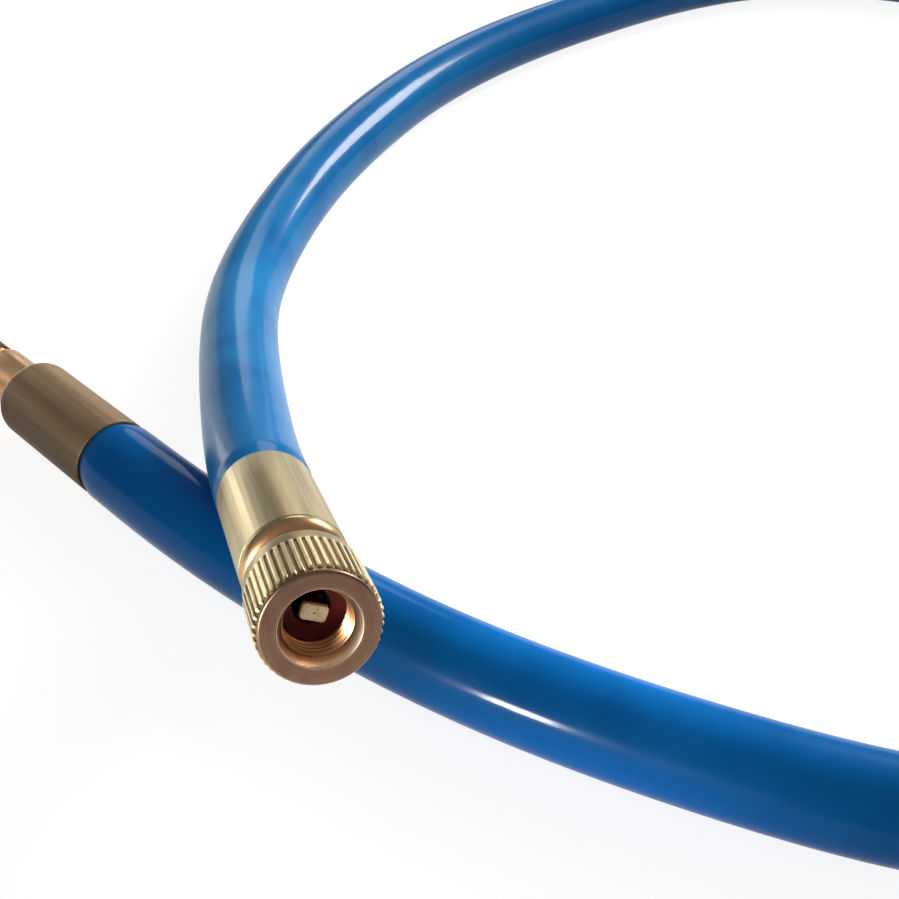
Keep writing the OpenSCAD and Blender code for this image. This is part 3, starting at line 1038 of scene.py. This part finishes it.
@dataclass
class Studio:
    """The camera, the pale floor and soft light.

    Attributes:
        eye: The camera's place.
        pitch: The camera's turn up from straight down, in degrees.
        lens: The focal length for a 36 mm sensor, in millimetres.
        floor_size: The floor's side.
        floor_fade: How far out the floor's shadows start and end to fade into white.
        target: The point that the lamps face.
    """

    eye: Triple = (0.045, -0.1415, 0.128)
    pitch: float = 52.85
    lens: float = 52.06
    floor_size: float = 12.0
    floor_fade: Pair = (0.35, 1.0)
    target: Triple = (0.03, 0.0, 0.01)

    def build(self) -> None:
        """Make the camera, the floor, the lamps and the world."""
        self.make_camera()
        self.make_floor()
        self.make_world()
        self.make_lamps()

    def make_camera(self) -> None:
        """Set the camera up at the viewing angle, with a plain view transform."""
        data = bpy.data.cameras.new("camera")
        data.sensor_width = 36.0
        data.lens = self.lens
        data.clip_start = 0.005
        camera = placed("camera", data)
        camera.location = self.eye
        camera.rotation_euler = (math.radians(self.pitch), 0.0, 0.0)
        bpy.context.scene.camera = camera
        bpy.context.scene.view_settings.view_transform = "Standard"

    def make_floor(self) -> None:
        """Lay a pale floor, which shows white, keeps the soft shadow and lights only dimly."""
        floor = primitive("floor", bpy.ops.mesh.primitive_plane_add, size=self.floor_size)
        made = bpy.data.materials.new("pale_floor")
        made.use_nodes = True
        graph = Graph(made.node_tree)
        dim = graph.node("ShaderNodeBsdfDiffuse", {"Color": opaque((0.5, 0.5, 0.5))})
        pale = graph.node("ShaderNodeBsdfDiffuse", {"Color": opaque((0.3, 0.3, 0.3))})
        glow = graph.node("ShaderNodeEmission", {"Color": opaque(WHITE), "Strength": 0.88})
        near = graph.node("ShaderNodeAddShader", (pale, glow))
        far = graph.node("ShaderNodeEmission", {"Color": opaque(WHITE)})
        x, y, _ = graph.parts(graph.place())
        away = ((x * x + y * y) ** 0.5).step(*self.floor_fade)
        shown = graph.node("ShaderNodeMixShader", (away, near, far))
        graph.show(graph.node("ShaderNodeMixShader", (self.seen_directly(graph), dim, shown)))
        floor.data.materials.append(made)

    @staticmethod
    def seen_directly(graph: Graph) -> Wire:
        """Tell what is seen from what only lights.

        Args:
            graph: The node tree builder.

        Returns:
            1 for what the camera, a gloss or a clear piece shows, and 0 for light.
        """
        camera, gloss, clear = (
            graph.node("ShaderNodeLightPath", output=f"Is {kind} Ray")
            for kind in ("Camera", "Glossy", "Transmission")
        )
        return camera.above(gloss).above(clear)

    def make_world(self) -> None:
        """Light the room dimly, a little brighter overhead, and show the camera white."""
        world = bpy.data.worlds.new("studio")
        bpy.context.scene.world = world
        world.use_nodes = True
        graph = Graph(world.node_tree)
        way = graph.node("ShaderNodeTexCoord", output="Generated")
        overhead = graph.parts(way)[2].step(0.15, 0.75)
        room = graph.mix(overhead, (0.13, 0.13, 0.13), (0.2, 0.2, 0.2))
        camera = graph.node("ShaderNodeLightPath", output="Is Camera Ray")
        light = {"Color": graph.mix(camera, room, WHITE), "Strength": 1.0}
        graph.show(graph.node("ShaderNodeBackground", light), "ShaderNodeOutputWorld")

    def make_lamps(self) -> None:
        """Hang the windows, what shows only in gloss and what lights only matt surfaces."""
        self.soft_box("back_window", 92.0, 18.0, 1.6, (0.5, 0.5), 3.0)
        self.soft_box("right_window", 50.0, 25.0, 1.6, (0.45, 0.4), 32.0)
        self.soft_box("front_lamp", -132.0, 12.0, 1.6, (0.2, 0.26), 200.0, Lamp.GLOSS)
        self.soft_box("low_card", 144.0, 2.5, 0.101, (0.036, 0.026), 2.4, Lamp.GLOSS)
        self.soft_box("key_light", 48.0, 40.0, 1.6, (0.9, 0.9), 2.5, Lamp.LIGHT)
        self.soft_box("front_fill", -118.0, 2.0, 1.6, (0.6, 0.6), 8.0, Lamp.LIGHT)

    def soft_box(
        self,
        name: str,
        azimuth: float,
        elevation: float,
        away: float,
        size: Pair,
        radiance: float,
        use: Lamp = Lamp.BOTH,
    ) -> None:
        """Hang one rectangular lamp that faces the object.

        Args:
            name: The lamp's name.
            azimuth: Its turn from +X, in degrees.
            elevation: Its height over the surface, in degrees.
            away: Its distance from the target.
            size: Its width and height.
            radiance: How bright it looks, where 1 is white.
            use: What it does.
        """
        data = bpy.data.lights.new(name, "AREA")
        data.shape = "RECTANGLE"
        data.size, data.size_y = size
        data.energy = radiance * math.pi * size[0] * size[1]
        lamp = placed(name, data)
        a, e = math.radians(azimuth), math.radians(elevation)
        way = Vector((math.cos(e) * math.cos(a), math.cos(e) * math.sin(a), math.sin(e)))
        lamp.location = Vector(self.target) + away * way
        lamp.rotation_euler = way.to_track_quat("Z", "Y").to_euler()
        lamp.visible_camera = False
        lamp.visible_glossy = use is not Lamp.LIGHT
        lamp.visible_diffuse = use is not Lamp.GLOSS


# ---------------------------------------------------------------- the hose


def run_lengths(points: list[Vector]) -> list[float]:
    """Return how far along a line each of its points is."""
    return list(accumulate(((b - a).length for a, b in zip(points, points[1:])), initial=0.0))


@dataclass
class Hose:
    """The blue hose, which lies in one loop from the pump end to the chuck.

    Attributes:
        bore: The bore's radius.
        crimped: The outside radius inside a ferrule.
        crimped_length: How far the hose goes into each ferrule.
        shoulder: The length in which it swells to its full size outside a ferrule.
        pump_reach: The spacing of the guide points at the pump end.
        chuck_reach: The spacing of the guide points at the chuck.
        sides: The number of columns round the hose.
        ring_step: The distance from ring to ring.
        curve_steps: The number of points on the fine curve for each guide point.
        crimp_steps: The number of rings inside each ferrule.
        finish: The hose's finish.
        route: The guide points in millimetres, with their lift over the surface.
    """

    bore: float = 4.0 * MM
    crimped: float = 5.9 * MM
    crimped_length: float = 22.1 * MM
    shoulder: float = 0.7 * MM
    pump_reach: float = 25.0 * MM
    chuck_reach: float = 16.0 * MM
    sides: int = 48
    ring_step: float = 2.0 * MM
    curve_steps: int = 40
    crimp_steps: int = 10
    finish: HoseFinish = HoseFinish("hose_blue")
    route: tuple[Triple, ...] = (
        (35.5, -20.5, 0), (56.5, -33, 0), (77.5, -42.5, 0), (99, -50.5, 0), (123.5, -53.5, 0),
        (149, -51.5, 0), (172, -42.5, 0), (192.5, -27.5, 0), (208.5, -7.5, 0), (218, 15.5, 0),
        (222.5, 40.5, 0), (223, 65.5, 0), (222.5, 91, 0), (223, 116, 0), (223, 141.5, 0),
        (222.5, 167, 0), (220.5, 192.5, 0), (213.5, 217, 0), (199, 238, 0), (177.5, 252, 0),
        (152.5, 256.5, 0), (128, 250.5, 0), (105.5, 237, 0), (85, 220, 0), (66, 202.5, 0),
        (50, 184, 0), (36.5, 163.5, 0), (25.5, 140.5, 0), (16, 115.5, 0), (10, 90, 0),
        (7, 64.5, 0.5), (10, 38.5, 4.5),
    )

    def build(self) -> None:
        line = self.centre_line()
        piece = self.tube(line)
        nodes = ("hose", "hose_chuck_end", "hose_pump_end")
        seat_piece(piece, Body.HOSE_LINE, nodes, self.finish, angle=50.0)

    def guides(self) -> list[Vector]:
        """List the points that steer the cubic curve.

        Returns:
            The points, three of them on each fitting's axis.
        """
        start = [PUMP_SEAT.point(k * self.pump_reach) for k in (1, 0, -1)]
        end = [CHUCK_SEAT.point(k * self.chuck_reach) for k in (-1, 0, 1)]
        middle = [Vector((x * MM, y * MM, HOSE_RADIUS + z * MM)) for x, y, z in self.route]
        return start + middle + end

    def centre_line(self) -> list[Vector]:
        """Run the hose from inside one ferrule to inside the other.

        Returns:
            The centre line's points.
        """
        guides = self.guides()
        fine, steps = self.curve_steps, self.crimp_steps
        fours = [guides[k : k + 4] for k in range(len(guides) - 3)]
        free = [self.on_curve(four, j / fine) for four in fours for j in range(fine)]
        free.append(self.on_curve(guides[-4:], 1.0))
        depths = [self.crimped_length * k / steps for k in range(1, steps + 1)]
        inner = [PUMP_SEAT.point(depth) for depth in reversed(depths)]
        return inner + self.spaced(free) + [CHUCK_SEAT.point(depth) for depth in depths]

    @staticmethod
    def on_curve(four: list[Vector], t: float) -> Vector:
        """Return a point of the uniform cubic curve that four guide points steer."""
        weights = ((1 - t) ** 3, 3 * t**3 - 6 * t**2 + 4, -3 * t**3 + 3 * t**2 + 3 * t + 1, t**3)
        return sum((w / 6.0 * p for w, p in zip(weights, four)), Vector())

    def spaced(self, points: list[Vector]) -> list[Vector]:
        """Space points evenly along a fine line.

        Args:
            points: The fine line's points.

        Returns:
            The evenly spaced points, both ends included.
        """
        lengths = run_lengths(points)
        count = round(lengths[-1] / self.ring_step)
        found, k = [], 0
        for j in range(count + 1):
            at = lengths[-1] * j / count
            while k < len(points) - 2 and lengths[k + 1] < at:
                k += 1
            share = (at - lengths[k]) / (lengths[k + 1] - lengths[k])
            found.append(points[k].lerp(points[k + 1], share))
        return found

    def outer_radius(self, along: float, whole: float) -> float:
        """Return the hose's radius, which the crimp squeezes in at both ends.

        Args:
            along: The distance from the hose's first end.
            whole: The hose's length.

        Returns:
            The outside radius there.
        """
        out_of_ferrule = min(along, whole - along) - self.crimped_length
        share = min(max(out_of_ferrule / self.shoulder, 0.0), 1.0)
        swell = math.sqrt(1.0 - (1.0 - share) ** 2)
        return self.crimped + (HOSE_RADIUS - self.crimped) * swell

    def tube(self, line: list[Vector]) -> bpy.types.Object:
        """Sweep the hose's wall along its centre line.

        Args:
            line: The centre line's points.

        Returns:
            The hose, a closed wall with its bore open.
        """
        rings, runs = self.ring_places(line)
        sides = self.sides
        points = [p for ring in rings for p in ring]
        count = len(rings)
        faces = [
            (a * sides + k, a * sides + (k + 1) % sides, b * sides + (k + 1) % sides, b * sides + k)
            for a, b in ((j, (j + 1) % count) for j in range(count))
            for k in range(sides)
        ]
        mesh = bpy.data.meshes.new("hose_tube")
        mesh.from_pydata(points, [], faces)
        layer = mesh.uv_layers.new(name=RUN_LAYER)
        for j in range(count):
            for k in range(sides):
                first = 4 * (j * sides + k)
                near, far = runs[j], runs[(j + 1) % count]
                around = (k / sides, (k + 1) / sides)
                corners = ((near, around[0]), (near, around[1]), (far, around[1]), (far, around[0]))
                for offset, uv in enumerate(corners):
                    layer.data[first + offset].uv = uv
        piece = placed("blue_hose", mesh)
        with editing(piece):
            bpy.ops.mesh.normals_make_consistent(inside=False)
        return piece

    def ring_places(self, line: list[Vector]) -> tuple[list[list[Vector]], list[float]]:
        """Return the wall's rings, out along the outside and back along the bore.

        Args:
            line: The centre line's points.

        Returns:
            The rings, and how far along the hose each one stands.
        """
        lengths = run_lengths(line)
        whole = lengths[-1]
        frames = []
        for k, place in enumerate(line):
            ahead = line[min(k + 1, len(line) - 1)] - line[max(k - 1, 0)]
            side = ahead.cross(Vector((0.0, 0.0, 1.0))).normalized()
            frames.append((place, side, side.cross(ahead).normalized(), lengths[k]))
        outside = [self.ring(p, s, u, self.outer_radius(at, whole)) for p, s, u, at in frames]
        bore = [self.ring(p, s, u, self.bore) for p, s, u, _ in reversed(frames)]
        return outside + bore, lengths + lengths[::-1]

    def ring(self, place: Vector, side: Vector, up: Vector, radius: float) -> list[Vector]:
        """Return the points of one ring round a place."""
        angles = (2.0 * math.pi * k / self.sides - math.pi / 2.0 for k in range(self.sides))
        return [place + radius * (math.cos(a) * side + math.sin(a) * up) for a in angles]


# ---------------------------------------------------------------- the fittings


@dataclass
class Ferrule:
    """A drawn brass cup, crimped over the hose's end.

    Attributes:
        name: The piece's name.
        node: The node that it stands for.
        seat: Its seat.
        slot: The record's material slot; not used.
        finish: Its finish.
        radius: The outside radius.
        wall: The wall's thickness.
        length: The length from mouth to closed end.
        end_round: The outside radius between side and closed end.
        mouth_round: The rounding of the mouth's outer edge.
        crease: The depth of the crease where the rounding starts.
        hole: The radius of the hole round the stem.
        sides: The number of columns round it.
    """

    name: str
    node: str
    seat: Seat
    slot: Slot
    finish: Finish
    radius: float = 6.4 * MM
    wall: float = 0.5 * MM
    length: float = 24.0 * MM
    end_round: float = 1.8 * MM
    mouth_round: float = 0.3 * MM
    crease: float = 0.07 * MM
    hole: float = 4.05 * MM
    sides: int = 160

    def profile(self) -> Profile:
        """Draw the cup's outline, from the mouth over the outside and back inside.

        Returns:
            The outline.
        """
        inner = self.radius - self.wall
        inner_round = self.end_round - self.wall
        end = self.length
        rounding_at = end - self.end_round
        rounding = self.end_round - self.crease
        mouth_edge, hole_edge = 0.05 * MM, 0.1 * MM
        return [
            (inner, mouth_edge),
            (inner + mouth_edge, 0.0),
            *arc((self.radius - self.mouth_round, self.mouth_round), self.mouth_round, -90.0, 0.0, 5),
            (self.radius, end * 0.3),
            (self.radius, end * 0.6),
            (self.radius, rounding_at - 2.0 * self.crease),
            (self.radius - self.crease, rounding_at - self.crease),
            *arc((self.radius - self.end_round, end - rounding), rounding, 0.0, 90.0, 14),
            (self.hole + hole_edge, end),
            (self.hole, end - hole_edge),
            (self.hole, end - self.wall),
            *arc((inner - inner_round, end - self.wall - inner_round), inner_round, 90.0, 0.0, 6),
        ]

    def build(self) -> None:
        """Turn the cup, lay it in its seat and dress it."""
        piece = turned(self.name, self.profile(), self.sides)
        lay(piece, self.seat)
        seat_piece(piece, Body.HOSE_LINE, (self.node,), self.finish)


@dataclass
class SwivelNut:
    """The knurled nut that screws onto a tyre valve.

    Attributes:
        length: The nut's length.
        back: How far its back is from the ferrule's mouth.
        knurl: The radius over the knurl's ridges.
        flutes: The number of flutes.
        flute_depth: The depth of a flute.
        columns: The number of columns in one flute.
        collar: The radius of the plain back collar.
        collar_length: The collar's length.
        collar_round: The rounding of the collar's back edge.
        band: How far the ridges end from the face.
        rim: The radius of the plain rim in front of the ridges.
        nose: The rounding between the rim and the flat face.
        countersink: The countersink's radius at the face.
        countersink_depth: How deep it reaches the thread's crests.
        thread_crest: The radius of the thread's crests.
        thread_root: The radius of the thread's roots.
        thread_turns: The number of turns.
        shoulder: How deep the gasket's shoulder lies.
        cavity: The radius of the cavity round the flange.
        lip: The thickness of the turned-in back lip.
        lip_hole: The radius of the lip's hole.
        finish: The nut's finish.
    """

    length: float = 10.9 * MM
    back: float = 26.8 * MM
    knurl: float = 6.875 * MM
    flutes: int = 46
    flute_depth: float = 0.35 * MM
    columns: int = 12
    collar: float = 6.65 * MM
    collar_length: float = 2.4 * MM
    collar_round: float = 0.5 * MM
    band: float = 0.95 * MM
    rim: float = 6.525 * MM
    nose: float = 0.35 * MM
    countersink: float = 4.425 * MM
    countersink_depth: float = 2.0 * MM
    thread_crest: float = 3.575 * MM
    thread_root: float = 3.87 * MM
    thread_turns: float = 4.35
    shoulder: float = 5.4 * MM
    cavity: float = 5.15 * MM
    lip: float = 1.4 * MM
    lip_hole: float = 4.1 * MM
    finish: NutFinish = NutFinish("knurled_brass")

    @property
    def face_at(self) -> float:
        """How far the front face is from the ferrule's mouth."""
        return self.back + self.length

    @property
    def collar_end(self) -> float:
        """How far the collar's front end is from the ferrule's mouth."""
        return self.back + self.collar_length

    def profile(self) -> Profile:
        """Draw the nut's outline before its flutes are cut.

        Returns:
            The outline.
        """
        front = self.face_at
        edge = 0.08 * MM
        slope = self.countersink_depth / (self.countersink - self.thread_crest)
        cone_end = front - slope * (self.countersink - self.thread_root)
        flute_start = self.collar_end + (self.knurl - self.collar)
        flute_end = front - self.band
        collar_centre = (self.collar - self.collar_round, self.back + self.collar_round)
        return [
            (self.lip_hole, self.back),
            *arc(collar_centre, self.collar_round, -90.0, 0.0, 6),
            (self.collar, self.collar_end),
            (self.knurl, flute_start),
            (self.knurl, (flute_start + flute_end) / 2.0),
            (self.knurl, flute_end),
            (self.rim, flute_end + (self.knurl - self.rim)),
            *arc((self.rim - self.nose, front - self.nose), self.nose, 0.0, 90.0, 8),
            (self.countersink + edge, front),
            (self.countersink, front - edge),
            (self.thread_root, cone_end),
            (self.thread_root, front - self.shoulder),
            (self.cavity, front - self.shoulder),
            (self.cavity, self.back + self.lip),
            (self.lip_hole, self.back + self.lip),
        ]

    def cut_flutes(self, piece: bpy.types.Object) -> None:
        """Press the flutes into the knurl, open to the rim and running out at the collar.

        Args:
            piece: The turned nut, standing on its axis.
        """
        vertices = piece.data.vertices
        near = 0.01 * MM
        knurled = [v.index for v in vertices if v.co.xy.length > self.knurl - near]
        back = min(vertices[i].co.z for i in knurled) + near
        pitch = 2.0 * math.pi / self.flutes
        for step in range(1, self.columns // 2 + 1):
            depth = self.flute_depth * self.groove_share(step / self.columns)
            chosen = []
            for i in knurled:
                turn = (math.atan2(vertices[i].co.y, vertices[i].co.x) / pitch) % 1.0
                if abs(min(turn, 1.0 - turn) - step / self.columns) < 0.25 / self.columns:
                    chosen.append(i)
            root = self.knurl - depth
            run_out = abs(root - self.collar) - (self.knurl - self.collar)
            self.move(piece, chosen, root / self.knurl, 0.0)
            self.move(piece, [i for i in chosen if vertices[i].co.z < back], 1.0, run_out)

    @staticmethod
    def groove_share(turn: float) -> float:
        """Shape a flute's cross section.

        Args:
            turn: The share of the pitch from the ridge's middle.

        Returns:
            How deep the flute is there, as a share of its depth.
        """
        ridge, wall = 0.13, 0.25
        share = min(max((turn - ridge) / wall, 0.0), 1.0)
        return share * share * (3.0 - 2.0 * share)

    @staticmethod
    def move(piece: bpy.types.Object, chosen: list[int], grow: float, along: float) -> None:
        """Scale chosen vertices from the axis and slide them along it.

        Args:
            piece: The piece.
            chosen: The vertices' numbers.
            grow: The scale of their distance from the axis.
            along: How far they slide along it.
        """
        choose(piece.data, [piece.data.vertices[i] for i in chosen])
        with editing(piece, whole=False):
            bpy.ops.transform.resize(value=(grow, grow, 1.0), center_override=(0.0, 0.0, 0.0))
            bpy.ops.transform.translate(value=(0.0, 0.0, along))

    def thread(self) -> bpy.types.Object:
        """Wind the ridge of the internal thread.

        Returns:
            The ridge.
        """
        section = thread_section(self.thread_root, self.thread_crest)
        start = self.face_at - self.shoulder - section[0][1]
        return helix_ridge("nut_thread", section, THREAD_PITCH, self.thread_turns, start, 64)

    def build(self) -> None:
        """Turn the nut, flute it, give it its thread and lay it in its seat."""
        piece = turned("swivel_nut", self.profile(), self.flutes * self.columns)
        self.cut_flutes(piece)
        piece = joined([piece, self.thread()])
        lay(piece, CHUCK_SEAT)
        nodes = ("knurled_nut",)
        seat_piece(piece, Body.SWIVEL_NUT, nodes, self.finish, angle=28.0)


@dataclass
class Depressor:
    """The strip that pushes a tyre valve's pin, held by a bar across the stem's bore.

    Attributes:
        head: The head's width, depth and thickness.
        head_at: How far the head's middle is from the ferrule's mouth.
        head_corner: The rounding of the head's corners.
        shank: The shank's width, depth and length.
        shank_at: How far the shank's middle is from the ferrule's mouth.
        bar: The bar's width, depth and length.
        bar_at: How far the bar's middle is from the ferrule's mouth.
        edge: The rounding of every edge.
        turn: The strip's turn about the chuck's axis, in degrees.
        finish: The strip's finish.
    """

    head: Triple = (3.0 * MM, 1.9 * MM, 0.8 * MM)
    head_at: float = 33.55 * MM
    head_corner: float = 0.5 * MM
    shank: Triple = (1.8 * MM, 1.4 * MM, 4.4 * MM)
    shank_at: float = 31.2 * MM
    bar: Triple = (3.9 * MM, 1.36 * MM, 3.0 * MM)
    bar_at: float = 28.45 * MM
    edge: float = 0.14 * MM
    turn: float = 67.0
    finish: PlateFinish = PlateFinish("cream_plate")

    def build(self) -> None:
        """Make the head, shank and bar, weld them into one and seat them."""
        piece = block("valve_depressor", self.head, self.head_at, self.head_corner, self.edge)
        shank = block("shank", self.shank, self.shank_at, self.edge, 0.5 * self.edge)
        bar = block("bar", self.bar, self.bar_at, 3.0 * self.edge, self.edge)
        for other in (shank, bar):
            weld(piece, other)
        piece.data.transform(Matrix.Rotation(math.radians(self.turn), 4, "Z"))
        lay(piece, CHUCK_SEAT)
        seat_piece(piece, Body.HOSE_LINE, ("depressor",), self.finish)


@dataclass
class ValveStem:
    """The turned brass stem at the pump end, with a barbed tail and a tyre valve's thread.

    Attributes:
        bore: The bore's radius.
        tail: The radius of the tail between its barbs.
        tail_start: How far the tail's inner end is from the ferrule's mouth.
        barb: How far a barb stands out.
        barbs: The number of barbs.
        barb_pitch: The distance from barb to barb.
        ferrule_end: How far the ferrule's closed end is from its mouth.
        collar: The collar's radius.
        collar_length: The collar's length.
        fillet: The radius of the fillet where the collar meets the ferrule.
        shoulder_round: The rounding of the collar's shoulder.
        groove: The radius of the run-out groove.
        groove_width: The groove's width.
        thread_root: The radius of the thread's roots.
        thread_crest: The radius of the thread's crests.
        thread_turns: The number of turns.
        length: How far the stem's end is from the ferrule's mouth.
        chamfer: The chamfer at the stem's end.
        pocket: The radius of the valve core's pocket.
        pocket_depth: The pocket's depth.
        seat_length: The length of the cone under the pocket.
        sides: The number of columns round it.
        finish: The stem's finish.
    """

    bore: float = 2.0 * MM
    tail: float = 4.0 * MM
    tail_start: float = 2.0 * MM
    barb: float = 0.3 * MM
    barbs: int = 4
    barb_pitch: float = 4.525 * MM
    ferrule_end: float = 24.0 * MM
    collar: float = 4.3 * MM
    collar_length: float = 10.0 * MM
    fillet: float = 0.6 * MM
    shoulder_round: float = 1.0 * MM
    groove: float = 3.35 * MM
    groove_width: float = 1.5 * MM
    thread_root: float = 3.45 * MM
    thread_crest: float = 3.85 * MM
    thread_turns: float = 8.2
    length: float = 43.0 * MM
    chamfer: float = 0.5 * MM
    pocket: float = 2.6 * MM
    pocket_depth: float = 7.4 * MM
    seat_length: float = 2.0 * MM
    sides: int = 128
    finish: Finish = STEM_BRASS

    def tail_profile(self) -> Profile:
        """Draw the barbed tail's outline.

        Returns:
            The outline, from the tail's inner end outwards.
        """
        chamfer, margin = 0.6 * MM, 1.0 * MM
        ramp, drop = 0.6 * self.barb_pitch, 0.1 * MM
        points = [(self.tail - chamfer, self.tail_start), (self.tail, self.tail_start + chamfer)]
        for k in range(self.barbs):
            foot = self.tail_start + margin + k * self.barb_pitch
            crest = foot + ramp
            points += [(self.tail, foot), (self.tail + self.barb, crest), (self.tail, crest + drop)]
        return points

    def profile(self) -> Profile:
        """Draw the stem's outline.

        Returns:
            The outline, from the bore over the outside and back.
        """
        shoulder = self.ferrule_end + self.collar_length
        fillet_centre = (self.collar + self.fillet, self.ferrule_end + self.fillet)
        round_centre = (self.collar - self.shoulder_round, shoulder - self.shoulder_round)
        thread_start = shoulder + self.groove_width
        rim = 0.3 * MM
        return [
            (self.bore, self.tail_start),
            *self.tail_profile(),
            (self.tail, self.ferrule_end),
            *arc(fillet_centre, self.fillet, -90.0, -180.0, 8),
            (self.collar, (self.ferrule_end + shoulder) / 2.0),
            *arc(round_centre, self.shoulder_round, 0.0, 90.0, 10),
            (self.groove, shoulder),
            (self.groove, thread_start),
            (self.thread_root, thread_start + (self.thread_root - self.groove)),
            (self.thread_root, self.length - self.chamfer),
            (self.groove, self.length),
            (self.pocket + rim, self.length),
            (self.pocket, self.length - rim),
            (self.pocket, self.length - self.pocket_depth),
            (self.bore, self.length - self.pocket_depth - self.seat_length),
        ]

    def thread(self) -> bpy.types.Object:
        """Wind the ridge of the outside thread.

        Returns:
            The ridge.
        """
        section = thread_section(self.thread_root, self.thread_crest)
        start = self.length - self.chamfer + section[0][1] - self.thread_turns * THREAD_PITCH
        return helix_ridge("stem_thread", section, THREAD_PITCH, self.thread_turns, start, 48)

    def build(self) -> None:
        """Turn the stem, give it its thread and lay it in its seat."""
        piece = turned("pump_stem", self.profile(), self.sides)
        piece = joined([piece, self.thread()])
        lay(piece, PUMP_SEAT)
        nodes = ("valve_stem",)
        seat_piece(piece, Body.HOSE_LINE, nodes, self.finish, angle=30.0)


@dataclass
class CoreSpring:
    """The valve core's spring, which shortens as the pin is pressed in, kept here at the solid part's
    length.

    Attributes:
        travel: How far the pin goes in; not used.
    """

    travel: float = 1.5 * MM

    def build(self) -> None:
        """Take the solid spring's coil as a piece of its own, with its doubled points merged."""
        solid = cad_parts["core_spring"]
        mesh = solid.data.copy()
        mesh.transform(solid.matrix_world)
        piece = placed("poppet_spring", mesh)
        with editing(piece):
            bpy.ops.mesh.remove_doubles(threshold=0.001 * MM)
        nodes = ("core_spring",)
        seat_piece(piece, Body.HOSE_LINE, nodes, SPRING_STEEL, angle=60.0)
        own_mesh(piece)


def dress_nodes() -> None:
    """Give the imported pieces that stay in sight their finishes."""
    for name, finish in NODE_FINISHES.items():
        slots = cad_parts[name].data.materials
        for index in range(len(slots)):
            slots[index] = finish.material()
        LOG.info("%s: finished as %s", name, finish.name)


def main() -> None:
    """Build the scene: camera and hose first, then the fittings and their finishes."""
    logging.basicConfig(level=logging.INFO, format="%(name)s %(message)s")
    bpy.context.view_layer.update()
    Studio().build()
    Hose().build()
    Ferrule("chuck_cup", "chuck_ferrule", CHUCK_SEAT, Slot.FERRULE_BRASS, CHUCK_BRASS).build()
    Ferrule("pump_cup", "pump_ferrule", PUMP_SEAT, Slot.DARK_BRASS, PUMP_BRASS).build()
    SwivelNut().build()
    Depressor().build()
    ValveStem().build()
    CoreSpring().build()
    dress_nodes()


if __name__ == "__main__":
    main()
